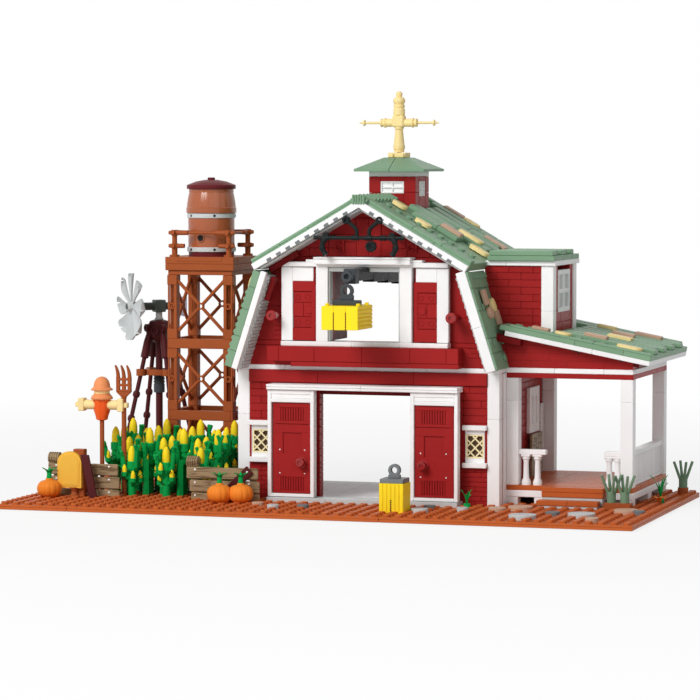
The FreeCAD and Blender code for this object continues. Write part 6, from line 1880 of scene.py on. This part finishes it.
def build_sign(ground):
    """Sign: a bare board with an arched head and a border on a turned foot, a post and a plank."""
    s = span("sign_board")
    x = s.cx
    y = s.cy
    low = ground + 6.8
    angle = np.linspace(0, math.pi, 15)
    board = Shell(161)
    for inset, depth in ((0, (y - 1.4, y + 1.4)), (1.2, (y - 1.7, y - 1.3)), (2, (y - 2, y - 1.6))):
        half = (s.x1 - s.x0) / 2 - inset
        spring = s.z1 - 7.4
        arch = [(x + half * math.cos(a), spring + (7.4 - inset) * math.sin(a)) for a in angle]
        board.slab([(x - half, low + inset), (x + half, low + inset)] + arch, depth)
    dress(board, "sign_face", "gold", replaces=["sign_board"])
    post = Shell(162)
    post.turned([(4.2, ground), (4.2, ground + 1.4), (2.4, ground + 2.6), (1.8, ground + 4.4),
                 (3, low + 0.4)],
                upright(x + 3, y), 18)
    post.box((x + 1.6, x + 9.2), (y + 1.5, y + 7), (ground, s.z1 + 1.4))
    dress(post, "sign_post", "tower")
    plank = Shell(163)
    plank.box((x + 13.6, x + 19.2), (y - 1, y + 1), (ground, s.z1 - 2), lean=(-6, -6))
    dress(plank, "sign_plank", "umber")


# Places on the base: pumpkins with their radius, sprouts with the length of their leaves, and tufts.
PUMPKINS = ((-190, -60, 8), (-72, -60, 8.2), (-59, -56, 8.2))
SPROUTS = ((197, 30, 17), (86, -36, 10))
FLOWER = (197.5, 23)
TUFTS = ((176, -20), (184.6, -20), (200.4, 86))
SPARE_BALE = (50, -76)


def build_plants(ground):
    """Ribbed pumpkins, sage tufts in sockets, a flower, and a spare bale with a lifting ring."""
    flesh = Shell(171)
    stem = Shell(172)
    for x, y, r in PUMPKINS:
        t = np.linspace(0, math.pi, 13)[1:-2]
        profile = np.stack([r * np.sin(t) ** 0.75, ground + 0.6 + r * 0.74 * (1 - np.cos(t))], -1)
        top = profile[-1, 1]
        neck = [(2.4, top + 0.6), (2.2, top + 1.6)]
        flesh.turned(np.concatenate([profile, neck]), upright(x, y), 60, flute=0.05, flutes=12)
        stem.turned([(1.9, top + 1.4), (1.6, top + 3), (1.5, top + 5.4), (1, top + 6.6)], upright(x, y), 12)
        for k in range(5):
            a = math.pi / 5 + k * math.pi / 2.5
            leaf(stem, np.array([x, y, top + 3.4]), (math.cos(a), math.sin(a)), 0.8, 6, 1.9)
    for x, y, long in SPROUTS:
        stem.turned([(2.6, ground), (2.2, ground + 3)], upright(x, y), 12)
        for k in range(6):
            a = k * math.pi / 3
            leaf(stem, np.array([x, y, ground + 2.4]), (math.cos(a) * 0.5, math.sin(a) * 0.5), 0.9,
                 long * (0.7 + 0.3 * (k % 2)), 1.9)
    for k in range(5):
        a = k * math.pi / 2.5
        leaf(flesh, np.array([*FLOWER, ground + 2]), (math.cos(a), math.sin(a)), 0.5, 5.6, 2.2)
    dress(flesh, "pumpkins", "pumpkin")
    dress(stem, "pumpkin_stalks", "leaf")
    tuft = Shell(173)
    pot = Shell(174)
    t = np.linspace(0, 1, 4)
    for x, y in TUFTS:
        pot.turned([(3.6, ground), (3.6, ground + 4.8)], upright(x, y), 16)
        for k in range(4):
            a = 0.5 + k * math.pi / 2
            tuft.tube(np.stack([x + (1.2 + 5.2 * t) * math.cos(a), y + (1.2 + 5 * t) * math.sin(a),
                                ground + 8 + 14 * t], -1),
                      1 - 0.1 * t, 8)
        tuft.turned([(2.9, ground + 4.8), (2.9, ground + 11), (2.4, ground + 11.6)], upright(x, y), 14)
    pot.box((171.6, 189), (-24, -16), (ground, ground + 4.6))
    dress(tuft, "sage_tufts", "sage")
    dress(pot, "sage_sockets", "tower")
    hay = Shell(175)
    x, y = SPARE_BALE
    half = 8
    tall = 19
    hay.box((x - half, x + half), (y - half + 0.6, y + half), (ground, ground + tall))
    ribs = np.linspace(x - half, x + half, 7)
    hay.boxes([(a + 0.15, b - 0.15, y - half, y - half + 1, ground + 0.1, ground + tall - 0.1)
               for a, b in pairs(ribs)])
    dress(hay, "spare_bale", "hay")
    dots = Shell(177)
    dots.studs([(x - 0.3, z, 0) for z in ground + 1.2 * np.arange(1, 8)],
               facing_front(0, y - half, 0), 0.5, 0.3, 8)
    dress(dots, "spare_stitches", "umber")
    ring = Shell(176)
    top = ground + tall
    ring.box((x - 7.6, x + 7.6), (y - 7.4, y + 7.4), (top + 0.02, top + 2.8))
    ring.box((x - 3.8, x + 3.8), (y - 1.6, y + 1.6), (top + 2.8, top + 5))
    ring.cone_ring(3.9, 2, 3.2, facing_front(x, y + 1.65, top + 7.8), 24)
    dress(ring, "spare_bale_ring", "mid_grey")


def rear_frame_finish():
    """The open back's frame keeps its own shape and takes the brick red."""
    node = frame["nodes"]["rear_frame"]
    node.data.materials.clear()
    node.data.materials.append(moulded("red"))


# Stage.

CAMERA_MM = (620.55, -1991.88, 221.52)
CAMERA_YAW = 0.3034
CAMERA_PITCH = 0.0581
CAMERA_LENS = 165
FLOOR_HALF = 8
FLOOR_DROP = -0.0004
FLOOR_COLOUR = (0.86, 0.86, 0.86, 1)
SURROUND_LIGHT = 0.36
LAMP_TARGET = (0, 0, 0.1)
# Name, place, power and width.
LAMPS = (
    ("key", (-0.7, -1.7, 1.4), 36, 1),
    ("fill", (1.2, -1.6, 0.9), 3, 1.2))


def seen_rays(tree):
    """One for camera, mirror and transmission rays, nought for the rays that light the scene."""
    path = add_node(tree, "LightPath")
    total = path.outputs["Is Camera Ray"]
    for name in ("Is Glossy Ray", "Is Transmission Ray"):
        total = add_node(tree, "Math", {0: total, 1: path.outputs[name]}, operation="MAXIMUM").outputs[0]
    return total


def floor_material():
    """Matte floor that keeps the shadow; to the camera it fades to a glow away from the middle."""
    material = bpy.data.materials.new("floor")
    material.use_nodes = True
    tree = material.node_tree
    tree.nodes.clear()
    coords = add_node(tree, "TexCoord").outputs["Object"]
    distance = add_node(tree, "VectorMath", {0: coords}, operation="LENGTH").outputs["Value"]
    share = map_range(tree, distance, 0.8, 1, 0.3, 1)
    seen = add_node(tree, "Math", {0: seen_rays(tree), 1: share}, operation="MULTIPLY").outputs[0]
    matte = add_node(tree, "BsdfDiffuse", {"Color": FLOOR_COLOUR}).outputs[0]
    glow = add_node(tree, "Emission").outputs[0]
    mix = add_node(tree, "MixShader", {0: seen, 1: matte, 2: glow}).outputs[0]
    add_node(tree, "OutputMaterial", {"Surface": mix})
    return material


def add_object(name, data, place, turn=(0, 0, 0)):
    """An object in the scene at a place in metres and a turn."""
    made = bpy.data.objects.new(name, data)
    made.location = place
    made.rotation_euler = turn
    bpy.context.scene.collection.objects.link(made)
    return made


def build_stage():
    """A pale floor that keeps the shadow, a white surround, two soft lamps and the camera."""
    scene = bpy.context.scene
    scene.view_settings.view_transform = "Standard"
    mesh = bpy.data.meshes.new("floor")
    far = FLOOR_HALF
    mesh.from_pydata([(-far, -far, 0), (far, -far, 0), (far, far, 0), (-far, far, 0)], [], [(0, 1, 2, 3)])
    mesh.materials.append(floor_material())
    floor = add_object("floor", mesh, (0, 0, 0))
    floor.location.z = FLOOR_DROP

    scene.world = scene.world or bpy.data.worlds.new("studio")
    scene.world.use_nodes = True
    tree = scene.world.node_tree
    tree.nodes.clear()
    strength = map_range(tree, seen_rays(tree), SURROUND_LIGHT, 1)
    sky = add_node(tree, "Background", {"Color": (1, 1, 1, 1), "Strength": strength})
    add_node(tree, "OutputWorld", {"Surface": sky.outputs[0]})

    for name, spot, power, wide in LAMPS:
        lamp = bpy.data.lights.new(name, "AREA")
        lamp.energy = power
        lamp.size = wide
        toward = np.array(LAMP_TARGET) - spot
        toward /= np.linalg.norm(toward)
        heading = math.atan2(toward[1], toward[0]) - math.pi / 2
        add_object(name, lamp, spot, (math.acos(-toward[2]), 0, heading))

    camera = bpy.data.cameras.new("camera")
    camera.lens = CAMERA_LENS
    camera.sensor_width = 36
    camera.clip_end = 20
    place = [value * MM for value in CAMERA_MM]
    scene.camera = add_object("camera", camera, place, (math.pi / 2 - CAMERA_PITCH, 0, CAMERA_YAW))


# Operators: one for each group of pieces.

class BARN_OT_base(Operator):
    """Build the studded base plates and stones"""

    bl_idname = "barn.base"
    bl_label = "Base"

    def execute(self, context):
        build_base()
        return {"FINISHED"}


class BARN_OT_walls(Operator):
    """Build the lower storey and the open back"""

    bl_idname = "barn.walls"
    bl_label = "Walls"

    def execute(self, context):
        build_walls()
        rear_frame_finish()
        return {"FINISHED"}


class BARN_OT_doors(Operator):
    """Build the sliding doors"""

    bl_idname = "barn.doors"
    bl_label = "Doors"

    def execute(self, context):
        build_doors()
        return {"FINISHED"}


class BARN_OT_loft(Operator):
    """Build the loft front with its shutters"""

    bl_idname = "barn.loft"
    bl_label = "Loft"

    def execute(self, context):
        build_loft()
        return {"FINISHED"}


class BARN_OT_ironwork(Operator):
    """Build the pipes on the gable"""

    bl_idname = "barn.ironwork"
    bl_label = "Ironwork"

    def execute(self, context):
        build_ironwork()
        return {"FINISHED"}


class BARN_OT_hoist(Operator):
    """Build the hoist with its bale"""

    bl_idname = "barn.hoist"
    bl_label = "Hoist"

    def execute(self, context):
        build_hoist()
        return {"FINISHED"}


class BARN_OT_roof(Operator):
    """Build the gambrel roof"""

    bl_idname = "barn.roof"
    bl_label = "Roof"

    def execute(self, context):
        build_roof()
        return {"FINISHED"}


class BARN_OT_cupola(Operator):
    """Build the cupola and the weathervane"""

    bl_idname = "barn.cupola"
    bl_label = "Cupola"

    def execute(self, context):
        build_cupola()
        return {"FINISHED"}


class BARN_OT_dormer(Operator):
    """Build the dormer and the white trim"""

    bl_idname = "barn.dormer"
    bl_label = "Dormer"

    def execute(self, context):
        build_dormer()
        return {"FINISHED"}


class BARN_OT_porch(Operator):
    """Build the porch and its shed roof"""

    bl_idname = "barn.porch"
    bl_label = "Porch"

    def execute(self, context):
        build_porch()
        return {"FINISHED"}


class BARN_OT_tower(Operator):
    """Build the water tower"""

    bl_idname = "barn.tower"
    bl_label = "Water tower"

    def execute(self, context):
        build_tower()
        return {"FINISHED"}


class BARN_OT_windmill(Operator):
    """Build the windmill"""

    bl_idname = "barn.windmill"
    bl_label = "Windmill"

    def execute(self, context):
        build_windmill()
        return {"FINISHED"}


class BARN_OT_garden(Operator):
    """Build the corn, fences, scarecrow, sign and plants"""

    bl_idname = "barn.garden"
    bl_label = "Garden"

    def execute(self, context):
        build_garden()
        return {"FINISHED"}


class BARN_OT_stage(Operator):
    """Set up the floor, lamps and camera"""

    bl_idname = "barn.stage"
    bl_label = "Stage"

    def execute(self, context):
        build_stage()
        return {"FINISHED"}


OPERATORS = (
    BARN_OT_base, BARN_OT_walls, BARN_OT_doors, BARN_OT_loft, BARN_OT_ironwork, BARN_OT_hoist, BARN_OT_roof,
    BARN_OT_cupola, BARN_OT_dormer, BARN_OT_porch, BARN_OT_tower, BARN_OT_windmill,
    BARN_OT_garden, BARN_OT_stage)


class BARN_PT_panel(Panel):
    """Sidebar panel with the barn's sizes, colours and builders"""

    bl_idname = "BARN_PT_panel"
    bl_label = "Toy barn"
    bl_space_type = "VIEW_3D"
    bl_region_type = "UI"
    bl_category = "Toy barn"

    def draw(self, context):
        for group in (context.scene.barn_sizes, context.scene.barn_paints):
            box = self.layout.box()
            for name in group.__annotations__:
                box.prop(group, name)
        for operator in OPERATORS:
            self.layout.operator(operator.bl_idname)


CLASSES = (BarnSizes, BarnPaints, *OPERATORS, BARN_PT_panel)


def register():
    for cls in CLASSES:
        bpy.utils.register_class(cls)
    bpy.types.Scene.barn_sizes = PointerProperty(type=BarnSizes)
    bpy.types.Scene.barn_paints = PointerProperty(type=BarnPaints)


def unregister():
    del bpy.types.Scene.barn_paints
    del bpy.types.Scene.barn_sizes
    for cls in reversed(CLASSES):
        bpy.utils.unregister_class(cls)


def main():
    register()
    for operator in OPERATORS:
        group, name = operator.bl_idname.split(".")
        getattr(getattr(bpy.ops, group), name)()
    bpy.context.view_layer.update()


if __name__ == "__main__":
    main()
